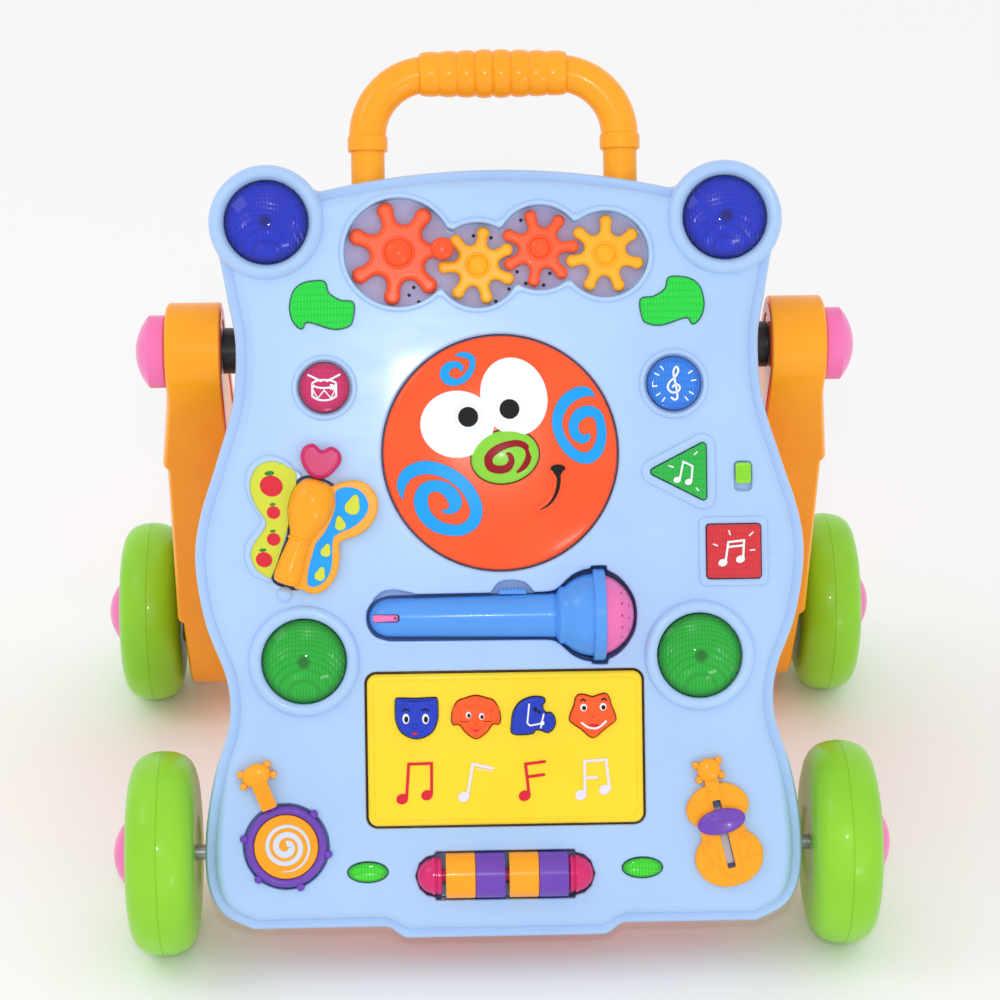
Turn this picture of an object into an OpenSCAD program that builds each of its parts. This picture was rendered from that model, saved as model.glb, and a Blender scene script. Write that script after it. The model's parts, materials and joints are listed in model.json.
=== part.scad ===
// Push-along baby walker with an activity panel, four wheels and folding rear legs.
// X runs across the walker, -Y is the side that the panel faces, +Z is up.

/* [Stance] */
// Lean of the activity panel from the floor, in degrees
panel_tilt = 62; // [61:0.5:63]
// Distance between the front and the rear axle
wheel_base = 256; // [252:1:260]

/* [Wheels] */
// Outer radius of each wheel
wheel_r = 54; // [53:0.5:55]
// Width of each wheel
wheel_w = 36; // [35:0.5:37]
// Radius of the steel axles
axle_r = 4; // [3.5:0.1:4]
// Radius of the domed cap on each wheel
cap_r = 19; // [17:0.5:20]

/* [Panel] */
// Wall thickness of the moulded shells
wall = 2.5; // [2.2:0.1:2.6]
// Depth of the front shell, from its face to the parting line
shell_d = 28; // [28:0.5:29]
// Drop from the face to the flange around its edge
flange_drop = 7; // [6:0.5:7]
// Width of that flange
flange_w = 6; // [5:0.5:6]
// Depth of the box at the back, from the face
housing_d = 64; // [64:0.5:66]
// Travel of the push buttons
travel = 2; // [1.5:0.1:2]

/* [Legs] */
// Radius of the round top of each leg
hub_r = 26; // [25:0.5:26]
// Radius of the round foot of each leg
foot_r = 44; // [42:0.5:45]
// Distance from the middle of the walker to the inner face of a leg
leg_in = 146.4; // [146:0.1:147]
// Distance from the middle of the walker to the outer face of a leg
leg_out = 181; // [180:0.5:182]

/* [Handle] */
// Radius of the handle's tube
bow_r = 9.8; // [9.6:0.1:10]
// Radius of the two posts that carry the handle
post_r = 8.9; // [8.6:0.1:9]
// Radius of the grip's ribs
rib_r = 13; // [12:0.5:13.5]

/* [Hidden] */
$fn = 64;
clear = 0.4;
front_axle_v = -185;
front_axle_w = -36;
panel_y = -wheel_base / 2 - front_axle_v * cos(panel_tilt) + front_axle_w * sin(panel_tilt);
panel_z = wheel_r - front_axle_v * sin(panel_tilt) - front_axle_w * cos(panel_tilt);
pivot_v = 82;
pivot_w = -46;
pivot_y = panel_y + pivot_v * cos(panel_tilt) - pivot_w * sin(panel_tilt);
pivot_z = panel_z + pivot_v * sin(panel_tilt) + pivot_w * cos(panel_tilt);
front_wheel_x = 180;
rear_wheel_x = 205;
tube_r = 12.3;
knob_r = 19.5;

// The panel's own frame: X across, Y up its face, Z out of its face.
ear = [119.5, 146];
ear_r = 30.2;
corner_lens_r = 21.5;
round_lens = [103, -82.4];
round_lens_r = 21.7;
leaf_lens = [91.3, 102.4];
drum_at = [-90.5, 59.7];
drum_r = 13;
clef_at = [91.5, 59.5];
clef_r = 14;
triangle_corners = [[80.5, 13.6], [106, 0.4], [106, 26.6]];
corner_round = 1.6;
square_at = [121.5, -28.4];
square_half = 14;
switch_at = [127.1, 10.7];
oval_at = [71.5, -192.6];
oval_half = [10.2, 5];
face_at = [0.5, 24.6];
face_r = 61;
face_bore_r = 26.3;
nose_at = [2.3, -2.2];
nose_half = [18.2, 14.2];
key_at = [0.9, -129.3];
key_half = [71.6, 39.5];
animal_x = [-45, -14.2, 16, 46.5];
animal_y = -112.6;
roller_v = -195.2;
roller_z = -1;
roller_r = 11.8;
roller_len = 15.3;
roller_x = [-31, -15.5, 1.9, 17.4];
banjo_at = [-113.7, -178.5];
banjo_r = 21.2;
banjo_neck_angle = 111.6;
violin_at = [114.2, -175.7];
violin_turn = 12.7;
slider_up = 7;
mic_v = -60.6;
mic_z = -4;
mic_r = 11;
collar_r = 24;
hinge_top = [-93.6, 11.4];
hinge_turn = 19;
hinge_z = 2.5;
body_len = 57;
door_at = [0, -122];
door_half = [34, 32];
box_half = 134;
box_top = 165;
box_bottom = -203;
screw_at = [[147, -30], [141, -207], [138.6, 127]];
boss_r = 3.6;

// Gears: middle, tip radius, root radius, tip ball radius
gear_at = [[-51, 129.6], [-9.9, 122.5], [22.6, 131.3], [56.8, 127.5]];
gear_tip = [27.4, 20.5, 20.5, 20.7];
gear_root = [15, 11, 11, 11.2];
gear_ball = [4.4, 3.3, 3.3, 3.3];
tray_r = [28.9, 22.4, 22.4, 22.6];
gear_teeth = 7;
first_phase = 13.7;
half_pitch = 180 / gear_teeth;
function bearing(i, j) = let (d = gear_at[j] - gear_at[i]) atan2(d[1], d[0]);
// Angle of one tooth of gear i, so that each tooth meets a gap of the gear before it
function gear_phase(i) = i == 0
    ? bearing(0, 1) + first_phase
    : bearing(i, i - 1) + half_pitch - (gear_phase(i - 1) - bearing(i - 1, i));

// ---- Curves ----

function spline(a, b, c, d, t) =
    0.5 * (2 * b + (c - a) * t + (2 * a - 5 * b + 4 * c - d) * t * t + (3 * b - a - 3 * c + d) * t * t * t);
function wrap(p, i) = p[(i + len(p)) % len(p)];
function held(p, i) = p[max(0, min(len(p) - 1, i))];
// A smooth closed loop through the points
function loop(p, n = 6) =
    [for (i = [0:len(p) - 1], k = [0:n - 1]) spline(wrap(p, i - 1), p[i], wrap(p, i + 1), wrap(p, i + 2), k / n)];
// A smooth open path through the points
function path(p, n = 5) = concat(
    [for (i = [0:len(p) - 2], k = [0:n - 1]) spline(held(p, i - 1), p[i], p[i + 1], held(p, i + 2), k / n)],
    [p[len(p) - 1]]);
function unit(v) = v / norm(v);
function outward(p, i) = let (t = unit(wrap(p, i + 1) - wrap(p, i - 1))) [t[1], -t[0]];
// An anticlockwise loop moved outwards by d
function grow(p, d) = [for (i = [0:len(p) - 1]) p[i] + d * outward(p, i)];
function reversed(p) = [for (i = [len(p) - 1:-1:0]) p[i]];
function mirrored(p) = [for (q = reversed(p)) [-q[0], q[1]]];
function arc(c, r, from, to, n) = [for (k = [0:n]) let (a = from + (to - from) * k / n) c + r * [cos(a), sin(a)]];
function ellipse(half, turn = 0, n = 40) = [for (k = [0:n - 1]) let (a = 360 * k / n)
    [half[0] * cos(a) * cos(turn) - half[1] * sin(a) * sin(turn), half[0] * cos(a) * sin(turn) + half[1] * sin(a) * cos(turn)]];
// The outline of equal circles at the corners of an anticlockwise convex shape
function rounded(p, r, n = 6) = [for (i = [0:len(p) - 1])
    let (a = p[i] - wrap(p, i - 1), b = wrap(p, i + 1) - p[i],
         from = atan2(a[1], a[0]) - 90, swing = atan2(b[1], b[0]) - 90 - from,
         turn = swing < 0 ? swing + 360 : swing)
    for (q = arc(p[i], r, from, from + turn, n)) q];
function box_points(half, r) = rounded(
    [[half[0] - r, -half[1] + r], [half[0] - r, half[1] - r], [-half[0] + r, half[1] - r], [-half[0] + r, -half[1] + r]], r);
function turned(p, a) = [for (q = p) [q[0] * cos(a) - q[1] * sin(a), q[0] * sin(a) + q[1] * cos(a)]];
function moved(p, d) = [for (q = p) q + d];

// ---- Outlines, in the panel's frame ----

side_points = [
    [132, -222.6], [148, -214], [155.5, -198], [156, -172], [151, -142], [143, -115], [144, -92],
    [154.5, -63], [159.5, -32], [157, -8], [148, 21], [139, 52], [137, 83], [141, 108], [145, 130]];
top_arc_r = 412;
top_v = 173.2;
right_half = concat(
    [[54, -228.6], [60, -222.6]],
    path(side_points),
    [ear],
    arc([0, top_v - top_arc_r], top_arc_r, 90 - 13.2, 90, 12));
outline = concat(right_half, [for (i = [1:len(right_half) - 1]) mirrored(right_half)[i]]);

leaf = loop([[-5, 12.5], [-10.4, 11.1], [-14.6, 7], [-16.4, -1.4], [-14.6, -8.3], [-10.6, -11.8], [-7.3, -8.3],
    [5, -12], [12.5, -11.3], [15.6, -8.3], [16.4, 1], [9.6, 2.4], [3.4, 6.5], [1.6, 12.2]], 4);
cat = loop([[-10.4, 10.4], [-10.9, 3], [-9.6, -5], [-5, -9.6], [0, -10.8], [5, -9.6], [9.6, -5], [10.9, 3],
    [10.4, 10.4], [6, 9.4], [0, 8.8], [-6, 9.4]], 4);
puppy = loop([[0, 11], [-5, 9.8], [-9.5, 8], [-12.4, 2], [-12, -3.4], [-8.6, -3.6], [-5, -8], [0, -11],
    [5, -8], [8.6, -3.6], [12, -3.4], [12.4, 2], [9.5, 8], [5, 9.8]], 4);
horse = loop([[0, 10.4], [-6.5, 8.4], [-10.4, 2], [-11.6, -4], [-9.6, -9], [-4, -9.4], [2, -8], [7, -8.8], [11, -5.4],
    [10.6, -0.4], [7.6, 3.6], [6, 8]], 4);
frog = loop([[-7.4, 11.4], [-9.4, 7], [-12, -1], [-6.5, -8.6], [0, -11.6], [6.5, -8.6], [12, -1], [9.4, 7], [7.4, 11.4],
    [3.4, 10], [0, 9.6], [-3.4, 10]], 4);
heart = loop([[0.6, 5.6], [-3.4, 9], [-8.6, 7.4], [-10.4, 2], [-8, -4.6], [-2.6, -9.2], [3.4, -8.4], [8, -4.4], [10.8, 0],
    [9.8, 4.8], [5.4, 7.4]], 4);
violin = turned(loop([[0, 27], [-9, 25], [-15.6, 18.5], [-16.2, 11.5], [-13.6, 7.8], [-11.6, 3], [-12.6, -1.6], [-15.6, -4.6],
    [-18, -12], [-15, -21], [-7.6, -26.4], [0, -27.6], [7.6, -26.4], [15, -21], [18, -12], [15.6, -4.6], [12.6, -1.6],
    [11.6, 3], [13.6, 7.8], [16.2, 11.5], [15.6, 18.5], [9, 25]], 4), violin_turn);
// The wing lies beside the hinge line, which is the Y axis here, with the flap's top end at 0
wing = loop([[2, -3.6], [12.4, -3.4], [17.4, 3.6], [24, 4.6], [30, 0], [32.4, -8.4], [28.6, -17], [20, -22], [15.4, -27],
    [16.6, -36], [17.6, -44], [13.6, -51.6], [6.6, -54.4], [2, -54]], 4);

function tooth(i) =
    let (ball = gear_ball[i], neck = ball * 0.86, tip = [gear_tip[i] - ball, 0],
         reach = 180 - asin(neck / ball), valley_d = (gear_root[i] - neck) / (1 - sin(half_pitch)),
         valley = valley_d * [cos(half_pitch), sin(half_pitch)], valley_r = valley_d - gear_root[i])
    concat(arc(tip, ball, -reach, reach, 12), arc(valley, valley_r, 270, 90 + 2 * half_pitch, 8));
function gear_outline(i) = [for (k = [0:gear_teeth - 1]) for (q = turned(tooth(i), gear_phase(i) + 2 * half_pitch * k)) q];

// ---- Shared shapes ----

module on_panel() translate([0, panel_y, panel_z]) rotate([panel_tilt, 0, 0]) children();
module at(p, z = 0) translate([p[0], p[1], z]) children();
module slab(p, z0, z1) translate([0, 0, z0]) linear_extrude(z1 - z0) polygon(p);
module disc(r, z0, z1) translate([0, 0, z0]) cylinder(r = r, h = z1 - z0);
module both_sides() for (s = [-1, 1]) scale([s, 1, 1]) children();
module along_x(x0, x1, r) translate([x0, 0, 0]) rotate([0, 90, 0]) cylinder(r = r, h = x1 - x0);
module ring(r, bead) rotate_extrude() translate([r, 0]) circle(bead);
// A spherical cap of base radius r and height h, standing on z = 0
module dome(r, h) let (ball = (r * r + h * h) / (2 * h))
    intersection() { translate([0, 0, h - ball]) sphere(ball, $fn = 96); disc(r + 1, 0, h + 1); }
// A push button: cap through the face, a flange under it and a stem to the board
module push_button(p, top, under = -wall) {
    slab(p, under - 2, top);
    slab(grow(p, 1.4), under - 2, under - 0.2);
    disc(3, -17, under - 1.9);
}
module mic_hollow(extra) {
    translate([0, mic_v, mic_z]) {
        along_x(-70 - extra, 32, mic_r + 0.8 + extra);
        along_x(26 - extra, 70 + extra, collar_r + 1 + extra);
        translate([-70 - extra, -mic_r - 0.8 - extra, 0]) cube([102 + extra, 2 * (mic_r + 0.8 + extra), 12]);
        translate([26 - extra, -collar_r - 1 - extra, 0]) cube([44 + 2 * extra, 2 * (collar_r + 1 + extra), 12]);
        translate([0, mic_r, 0]) translate([-4, 0, -4 - extra]) cube([24, 5 + extra, 16 + extra]);
    }
}
module in_violin() at(violin_at) rotate(violin_turn) children();
module on_hinge() at(hinge_top, hinge_z) rotate(-hinge_turn) children();

// ---- Console ----

module front_shell_outside() {
    slab(outline, -shell_d, -flange_drop);
    slab(grow(outline, -flange_w), -shell_d, 0);
    both_sides() at(ear) disc(ear_r, -shell_d, 0);
}
module front_shell_hollow() {
    slab(grow(outline, -wall), -shell_d - 1, -flange_drop - wall);
    slab(grow(outline, -flange_w - wall), -shell_d - 1, -wall);
    both_sides() at(ear) disc(ear_r - wall, -shell_d - 1, -wall);
}
module panel_trays() {
    for (i = [0:3]) at(gear_at[i]) disc(tray_r[i] + wall, -8 - wall, 1.6);
    at(face_at) disc(face_r + 3, -9, -0.5);
    at(key_at) slab(box_points(key_half + [3, 3], 6), -3 - wall, -0.5);
    intersection() { mic_hollow(wall); translate([-90, -110, -40]) cube([180, 90, 39.5]); }
    translate([-50, roller_v - 15.5, -15.5]) cube([100, 31, 15]);
    at(banjo_at) disc(banjo_r + 1.2 + wall, -5 - wall, -0.5);
    on_hinge() translate([-15, -body_len - 2, -16]) cube([30, body_len + 4, 13]);
}
module panel_beads() {
    both_sides() at(ear) ring(26, 4.2);
    both_sides() at(round_lens) ring(25.3, 3.5);
    at(drum_at) ring(15.5, 1.6);
    at(clef_at) ring(16.5, 1.6);
    at(square_at) slab(box_points([square_half + 4, square_half + 4], 4), -1, 1.4);
    slab(rounded(triangle_corners, corner_round + 5), -1, 1.4);
    // raised border of the fixed left wing
    on_hinge() slab([for (q = mirrored(wing)) [q[0] - 11.5, q[1]]], -hinge_z - 1, -hinge_z + 1);
}
module panel_bosses() {
    both_sides() for (q = screw_at) at(q) disc(boss_r, -shell_d, -wall + 0.5);
    for (i = [0:3]) at(gear_at[i]) disc(2.8, -9, -2.2);
}
module panel_openings() {
    for (i = [0:3]) difference() { at(gear_at[i]) disc(tray_r[i], -8, 3); at(gear_at[i]) disc(2.8, -9, -2.2); }
    at(face_at) disc(face_r + 0.8, -6.5, 1);
    at(face_at) disc(face_bore_r, -10, 1);
    at(key_at) slab(box_points(key_half + [0.6, 0.6], 5), -3, 1);
    translate([-61, animal_y - 15, -9]) cube([124, 30, 10]);
    mic_hollow(0);
    translate([-35.5, roller_v - 13, -13.4]) cube([71, 26, 20]);
    translate([-46.5, roller_v - 10.4, -12.5]) cube([93, 20.8, 20]);
    at(banjo_at) disc(banjo_r + 1.2, -5, 1);
    at(banjo_at) disc(3.2, -10, 1);
    on_hinge() translate([-12.6, -body_len - 0.5, -13.2]) cube([25.2, body_len + 1, 20]);
    both_sides() at(ear) disc(corner_lens_r + clear, -5, 8);
    both_sides() at(round_lens) disc(round_lens_r + clear, -5, 8);
    both_sides() at(leaf_lens) slab(grow(turned_leaf, clear), -5, 5);
    at(drum_at) disc(drum_r + clear, -5, 5);
    at(clef_at) disc(clef_r + clear, -5, 5);
    slab(rounded(triangle_corners, corner_round + clear), -5, 5);
    at(square_at) slab(box_points([square_half + clear, square_half + clear], 2), -5, 5);
    at(switch_at) slab(box_points([3.4, 6.6], 2), -5, 5);
    both_sides() at(oval_at) slab(ellipse(oval_half + [clear, clear]), -5, 5);
    in_violin() translate([-2.4, -19, -5]) cube([4.8, 38, 10]);
    both_sides() for (q = screw_at) at(q) disc(1.4, -shell_d - 1, -8);
    both_sides() translate([66.6, 150, -22]) rotate([-90, 0, 0]) cylinder(r = post_r + 0.1, h = 40);
}
turned_leaf = mirrored(leaf);

module front_panel() color("lightsteelblue") on_panel() difference() {
    union() {
        difference() { front_shell_outside(); front_shell_hollow(); }
        panel_trays();
        panel_beads();
        panel_bosses();
    }
    panel_openings();
}

module housing_box(inset, z0, z1) slab(rounded([[box_half - 12, box_bottom + 12], [box_half - 12, box_top - 12],
    [-box_half + 12, box_top - 12], [-box_half + 12, box_bottom + 12]], 12 - inset), z0, z1);
module rear_housing() color("orangered") on_panel() difference() {
    union() {
        slab(outline, -shell_d - wall, -shell_d);
        both_sides() at(ear) disc(ear_r, -shell_d - wall, -shell_d);
        housing_box(0, -housing_d, -shell_d);
    }
    housing_box(wall, -housing_d + wall, -shell_d + 1);
    // battery bay, open at the back
    at(door_at) slab(box_points(door_half, 4), -housing_d - 1, -housing_d + 2 * wall);
    for (i = [-3:3], j = [-3:3]) if (i * i + j * j < 12) at([7 * i, 20 + 7 * j]) disc(1.5, -housing_d - 1, -housing_d + 5);
    both_sides() for (q = screw_at) at(q) disc(1.7, -shell_d - 5, -shell_d + 1);
    both_sides() translate([66.6, 150, -22]) rotate([-90, 0, 0]) cylinder(r = post_r + 0.1, h = 40);
    translate([0, pivot_v, pivot_w]) along_x(-box_half - 5, box_half + 5, tube_r + 0.1);
    translate([0, front_axle_v, front_axle_w]) along_x(-box_half - 5, box_half + 5, axle_r + 0.1);
}
module battery_door() color("orangered") on_panel() at(door_at) difference() {
    union() {
        slab(box_points(door_half - [0.3, 0.3], 4), -housing_d - 0.5, -housing_d + 2);
        for (i = [-4:4]) translate([-20, 3 * i - 0.6, -housing_d - 1.5]) cube([40, 1.2, 2]);
    }
    at([0, 26]) disc(1.9, -housing_d - 3, -housing_d + 3);
}
module battery_cells() color("dimgray") on_panel() at(door_at)
    for (x = [-17, 0, 17]) translate([x, -27, -housing_d + 11]) rotate([-90, 0, 0]) {
        cylinder(r = 7.1, h = 49);
        translate([0, 0, 48.9]) cylinder(r = 2.7, h = 1.2);
    }
module screw_shape(length) { disc(3.4, -1.8, 0); disc(1.3, -0.1, length); }
module housing_screws() color("silver") on_panel() {
    both_sides() for (q = screw_at) at(q) translate([0, 0, -shell_d - wall]) screw_shape(18);
    at(door_at + [0, 26]) translate([0, 0, -housing_d - 0.5]) screw_shape(6);
}
module circuit_board() color("seagreen") on_panel() {
    translate([-112, -31, -22]) cube([246, 112, 1.6]);
    translate([-62, -142, -22]) cube([126, 44, 1.6]);
    translate([-30, 30, -24.4]) cube([14, 14, 2.5]);
    translate([20, 44, -27.4]) cylinder(r = 4, h = 5.5);
    for (q = [[-60, 0], [60, 4], [-60, 46]]) at(q) disc(2.4, -20.5, -12);
}
module speaker() color("dimgray") on_panel() at([0, 20]) {
    disc(28, -housing_d + wall + 0.2, -housing_d + 6);
    disc(14, -housing_d + 5.9, -housing_d + 17);
}
module corner_lenses() color("mediumblue") on_panel() both_sides() at(ear) {
    disc(corner_lens_r, -wall - 0.1, 1.5);
    disc(corner_lens_r + 1, -wall - 2, -wall);
    translate([0, 0, 1.4]) dome(corner_lens_r - 0.2, 7);
}
module round_lenses() color("green") on_panel() both_sides() at(round_lens) {
    disc(round_lens_r, -wall - 0.1, 1.5);
    disc(round_lens_r + 0.9, -wall - 2, -wall);
    translate([0, 0, 1.4]) dome(round_lens_r - 0.2, 7);
}
module leaf_lenses() color("limegreen") on_panel() both_sides() at(leaf_lens) {
    slab(turned_leaf, -wall - 1, 1.8);
    slab(grow(turned_leaf, 1.2), -wall - 1.5, -wall);
}
module front_axle() color("silver") on_panel() translate([0, front_axle_v, front_axle_w])
    along_x(-front_wheel_x - 16, front_wheel_x + 16, axle_r);
module handle_posts() color("orange") on_panel() both_sides()
    translate([66.6, 152, -22]) rotate([-90, 0, 0]) cylinder(r = post_r, h = 36);
// One finger rib of the grip, as points of its outline: 1 is the tip of a rib
function rib_height(x) = bow_r + 1.4 + (rib_r - bow_r - 1.4 - abs(x) / 28) * sqrt(1 - pow(abs(x - 9.5 * round(x / 9.5 - 0.5) - 4.75) / 5.2, 2));
grip_profile = concat([[0, -39], [bow_r + 1.4, -39]],
    [for (k = [0:48]) let (x = -38 + 76 * k / 48) [rib_height(x), x]], [[bow_r + 1.4, 39], [0, 39]]);
module handle_bow() color("orange") on_panel() translate([0, 0, -22]) {
    both_sides() {
        translate([66.6, 188, 0]) rotate([-90, 0, 0]) cylinder(r = bow_r + 0.8, h = 5.5);
        translate([33.6, 192.4, 0]) rotate_extrude(angle = 90) translate([33, 0]) circle(bow_r);
    }
    translate([0, 225.4, 0]) rotate([0, 90, 0]) rotate_extrude() polygon(grip_profile);
}
module keyboard_plate() color("gold") on_panel() difference() {
    at(key_at) slab(box_points(key_half, 5), -3, 2.5);
    at(key_at) slab(box_points(key_half - [2.5, 2.5], 3), -4, 0);
    at([animal_x[0], animal_y]) slab(grow(cat, clear), -1, 5);
    at([animal_x[1], animal_y]) slab(grow(puppy, clear), -1, 5);
    at([animal_x[2], animal_y]) slab(grow(horse, clear), -1, 5);
    at([animal_x[3], animal_y]) slab(grow(frog, clear), -1, 5);
}
module banjo_neck() color("orange") on_panel() at(banjo_at) rotate(banjo_neck_angle) {
    translate([22, -4.2, 3.6]) cube([16, 8.4, 3]);
    translate([40.4, 0, 0]) { translate([0, 0, 0.1]) scale(1) slab(ellipse([6, 7.6]), 0, 6.5); }
    for (q = [[38, 8.6], [44, 7.4], [38, -8.6], [44, -7.4]]) at(q) disc(1.9, 0.1, 5);
}
module violin_body() color("orange") on_panel() difference() {
    union() {
        at(violin_at) slab(violin, 0.1, 4);
        in_violin() translate([-3.2, 24, 0.1]) cube([6.4, 8, 3.6]);
        in_violin() translate([0, 34.5, 0]) slab(ellipse([6, 5.6]), 0.1, 5);
        in_violin() for (q = [[-6.4, 38.4], [6.4, 38.4], [-6.4, 30.6], [6.4, 30.6]]) at(q) disc(1.8, 0.1, 4);
    }
    in_violin() translate([-2.1, -18, -5]) cube([4.2, 36, 20]);
}
module heart_cap() color("crimson") on_panel() at([-92.9, 21.6]) slab(heart, 0.1, 6);
module roller_axle() color("deeppink") on_panel() translate([0, roller_v, roller_z]) {
    along_x(-36, 36, 3.6);
    both_sides() { along_x(34.6, 38.6, 9.6); translate([38.5, 0, 0]) rotate([0, 90, 0]) dome(8.4, 7.4); }
}

// ---- Legs: seen from the side, the drawing plane is Y and Z ----

module side_on(x0, x1) translate([x0, 0, 0]) rotate([90, 0, 90]) linear_extrude(x1 - x0) children();
leg_reach = norm([wheel_base / 2 - pivot_y, wheel_r - pivot_z]);
leg_lean = atan2(wheel_r - pivot_z, wheel_base / 2 - pivot_y);
leg_flare = asin((foot_r - hub_r) / leg_reach);
// The outline of the two rounds and the lines that touch both, from the pivot along X
leg_profile = concat(
    arc([0, 0], hub_r, 90 + leg_flare, 270 - leg_flare, 16),
    arc([leg_reach, 0], foot_r, -90 - leg_flare, 90 + leg_flare, 20));
function placed_leg(p) = moved(turned(p, leg_lean), [pivot_y, pivot_z]);
module leg_shell() difference() {
    union() {
        side_on(leg_in, leg_out) polygon(placed_leg(leg_profile));
        // raised middle of the outer face
        side_on(leg_out - 1, leg_out + 3) polygon(placed_leg(concat(
            arc([76, 0], 17, 100, 260, 8), arc([188, 0], 21, -80, 80, 8))));
    }
    side_on(leg_in - 1, leg_out - 2.8) polygon(placed_leg(grow(leg_profile, -wall)));
    side_on(176, leg_out + 5) translate([pivot_y, pivot_z]) circle(hub_r + 1);
    translate([0, pivot_y, pivot_z]) along_x(leg_in, 200, 6.1);
    translate([0, wheel_base / 2, wheel_r]) along_x(leg_in, 200, axle_r);
}
module left_leg() color("orange") scale([-1, 1, 1]) leg_shell();
module right_leg() color("orange") leg_shell();
module leg_inner_covers() color("orangered") both_sides() difference() {
    side_on(leg_in - 0.6, leg_in + 1.9) polygon(placed_leg(grow(leg_profile, -wall - 0.2)));
    translate([0, wheel_base / 2, wheel_r]) along_x(leg_in - 5, 200, axle_r);
    translate([0, pivot_y, pivot_z]) along_x(leg_in - 5, 200, 6.1);
}
module pivot_knobs() color("hotpink") both_sides() translate([176.1, pivot_y, pivot_z]) {
    rotate([0, 90, 0]) { cylinder(r = knob_r, h = 9); translate([0, 0, 8.9]) dome(knob_r - 0.2, 7.4); }
    along_x(-29, 0.1, 6);
}
module rear_axles() color("silver") both_sides() translate([0, wheel_base / 2, wheel_r])
    along_x(leg_in + 0.2, rear_wheel_x + 16, axle_r);
module pivot_tube() color("black") translate([0, pivot_y, pivot_z]) difference() {
    along_x(-leg_in + 0.7, leg_in - 0.7, tube_r);
    along_x(-leg_in - 1, leg_in + 1, tube_r - wall);
}

// ---- Wheels: each is two moulded halves, so that it's hollow, and a cap ----

half_w = wheel_w / 2;
wheel_skin = concat([[axle_r + 0.1, 0], [axle_r + 0.1, half_w - 1], [cap_r - 1, half_w - 1], [cap_r + 3, half_w]],
    path([[wheel_r - 12, half_w - 1.4], [wheel_r - 4.6, half_w - 5], [wheel_r - 1, half_w - 11], [wheel_r, 0]], 5));
wheel_hole = concat([[axle_r + 4, -0.1], [axle_r + 4, half_w - 4], [cap_r + 3, half_w - 3.2]],
    path([[wheel_r - 13, half_w - 5], [wheel_r - 7, half_w - 8], [wheel_r - 3.6, half_w - 13], [wheel_r - 3, -0.1]], 5));
module wheel_half() rotate([0, 90, 0]) difference() {
    rotate_extrude($fn = 96) polygon(wheel_skin);
    rotate_extrude($fn = 96) polygon(wheel_hole);
}
module wheel(x, y) color("yellowgreen") translate([x, y, wheel_r]) { wheel_half(); scale([-1, 1, 1]) wheel_half(); }
module wheel_cap(x, y) color("hotpink") translate([x, y, wheel_r]) scale([x < 0 ? -1 : 1, 1, 1])
    translate([half_w - 0.9, 0, 0]) rotate([0, 90, 0]) { cylinder(r = cap_r - 1.2, h = 3.4); translate([0, 0, 3.3]) dome(cap_r - 1.4, 6.4); }
front_y = -wheel_base / 2;
rear_y = wheel_base / 2;
module front_left_wheel() wheel(-front_wheel_x, front_y);
module front_right_wheel() wheel(front_wheel_x, front_y);
module rear_left_wheel() wheel(-rear_wheel_x, rear_y);
module rear_right_wheel() wheel(rear_wheel_x, rear_y);
module front_left_cap() wheel_cap(-front_wheel_x, front_y);
module front_right_cap() wheel_cap(front_wheel_x, front_y);
module rear_left_cap() wheel_cap(-rear_wheel_x, rear_y);
module rear_right_cap() wheel_cap(rear_wheel_x, rear_y);

// ---- Toys on the panel ----

module gear(i, tint) color(tint) on_panel() at(gear_at[i]) difference() {
    union() {
        slab(gear_outline(i), -7.4, -1.6);
        translate([0, 0, -1.7]) dome(gear_ball[i] * 2, 3.4);
        if (i == 0) rotate(gear_phase(0)) translate([gear_tip[0] - 4.6, 0, 0]) { disc(2.2, -1.7, 1.2); disc(5.9, 1, 5.4); }
    }
    disc(3, -9, -2);
}
module gear_one() gear(0, "tomato");
module gear_two() gear(1, "orange");
module gear_three() gear(2, "tomato");
module gear_four() gear(3, "orange");

function crown(r) = 6 * (1 - pow(r / face_r, 4));
module face_disc() color("tomato") on_panel() at(face_at) difference() {
    rotate_extrude($fn = 96) polygon(concat(
        [for (k = [0:12]) let (r = face_r * k / 12) [r, crown(r)]],
        [[face_r, -5], [face_r - wall, -5]],
        [for (k = [10:-1:5]) let (r = (face_r - wall) * k / 10) [r, crown(r) - wall]],
        [[26.2, crown(26.2) - wall], [26.2, -9], [23.7, -9], [23.7, crown(23.7) - wall], [0, crown(0) - wall]]));
    at(nose_at) slab(ellipse(nose_half, 12), 0, 9);
}
module nose_button() color("yellowgreen") on_panel() at(face_at + nose_at) {
    slab(ellipse(nose_half - [0.5, 0.5], 12), 1.2, 9.5);
    slab(ellipse(nose_half + [1.2, 1.2], 12), 1, 2.8);
    disc(3, -17, 1.1);
}
module drum_button() color("deeppink") on_panel() at(drum_at) push_button(ellipse([drum_r, drum_r]), 3);
module clef_button() color("dodgerblue") on_panel() at(clef_at) push_button(ellipse([clef_r, clef_r]), 3);
module triangle_button() color("limegreen") on_panel() at([98, 13.5])
    push_button(moved(rounded(triangle_corners, corner_round), [-98, -13.5]), 3.4);
module square_button() color("red") on_panel() at(square_at) push_button(box_points([square_half, square_half], 1.8), 3.4);
module oval_button() on_panel() at(oval_at) push_button(ellipse(oval_half), 1.6);
module left_oval_button() color("green") scale([-1, 1, 1]) oval_button();
module right_oval_button() color("green") oval_button();
module animal(i, p, tint) color(tint) on_panel() at([animal_x[i], animal_y]) push_button(p, 5.4, 0);
module cat_button() animal(0, cat, "royalblue");
module puppy_button() animal(1, puppy, "orangered");
module horse_button() animal(2, horse, "royalblue");
module frog_button() animal(3, frog, "orangered");
module power_switch() color("yellowgreen") on_panel() at(switch_at + [0, 1.6]) {
    slab(box_points([4.2, 5.6], 2.4), 0.2, 2.6);
    slab(box_points([2.8, 3.2], 1), -8, 0.3);
}
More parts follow.
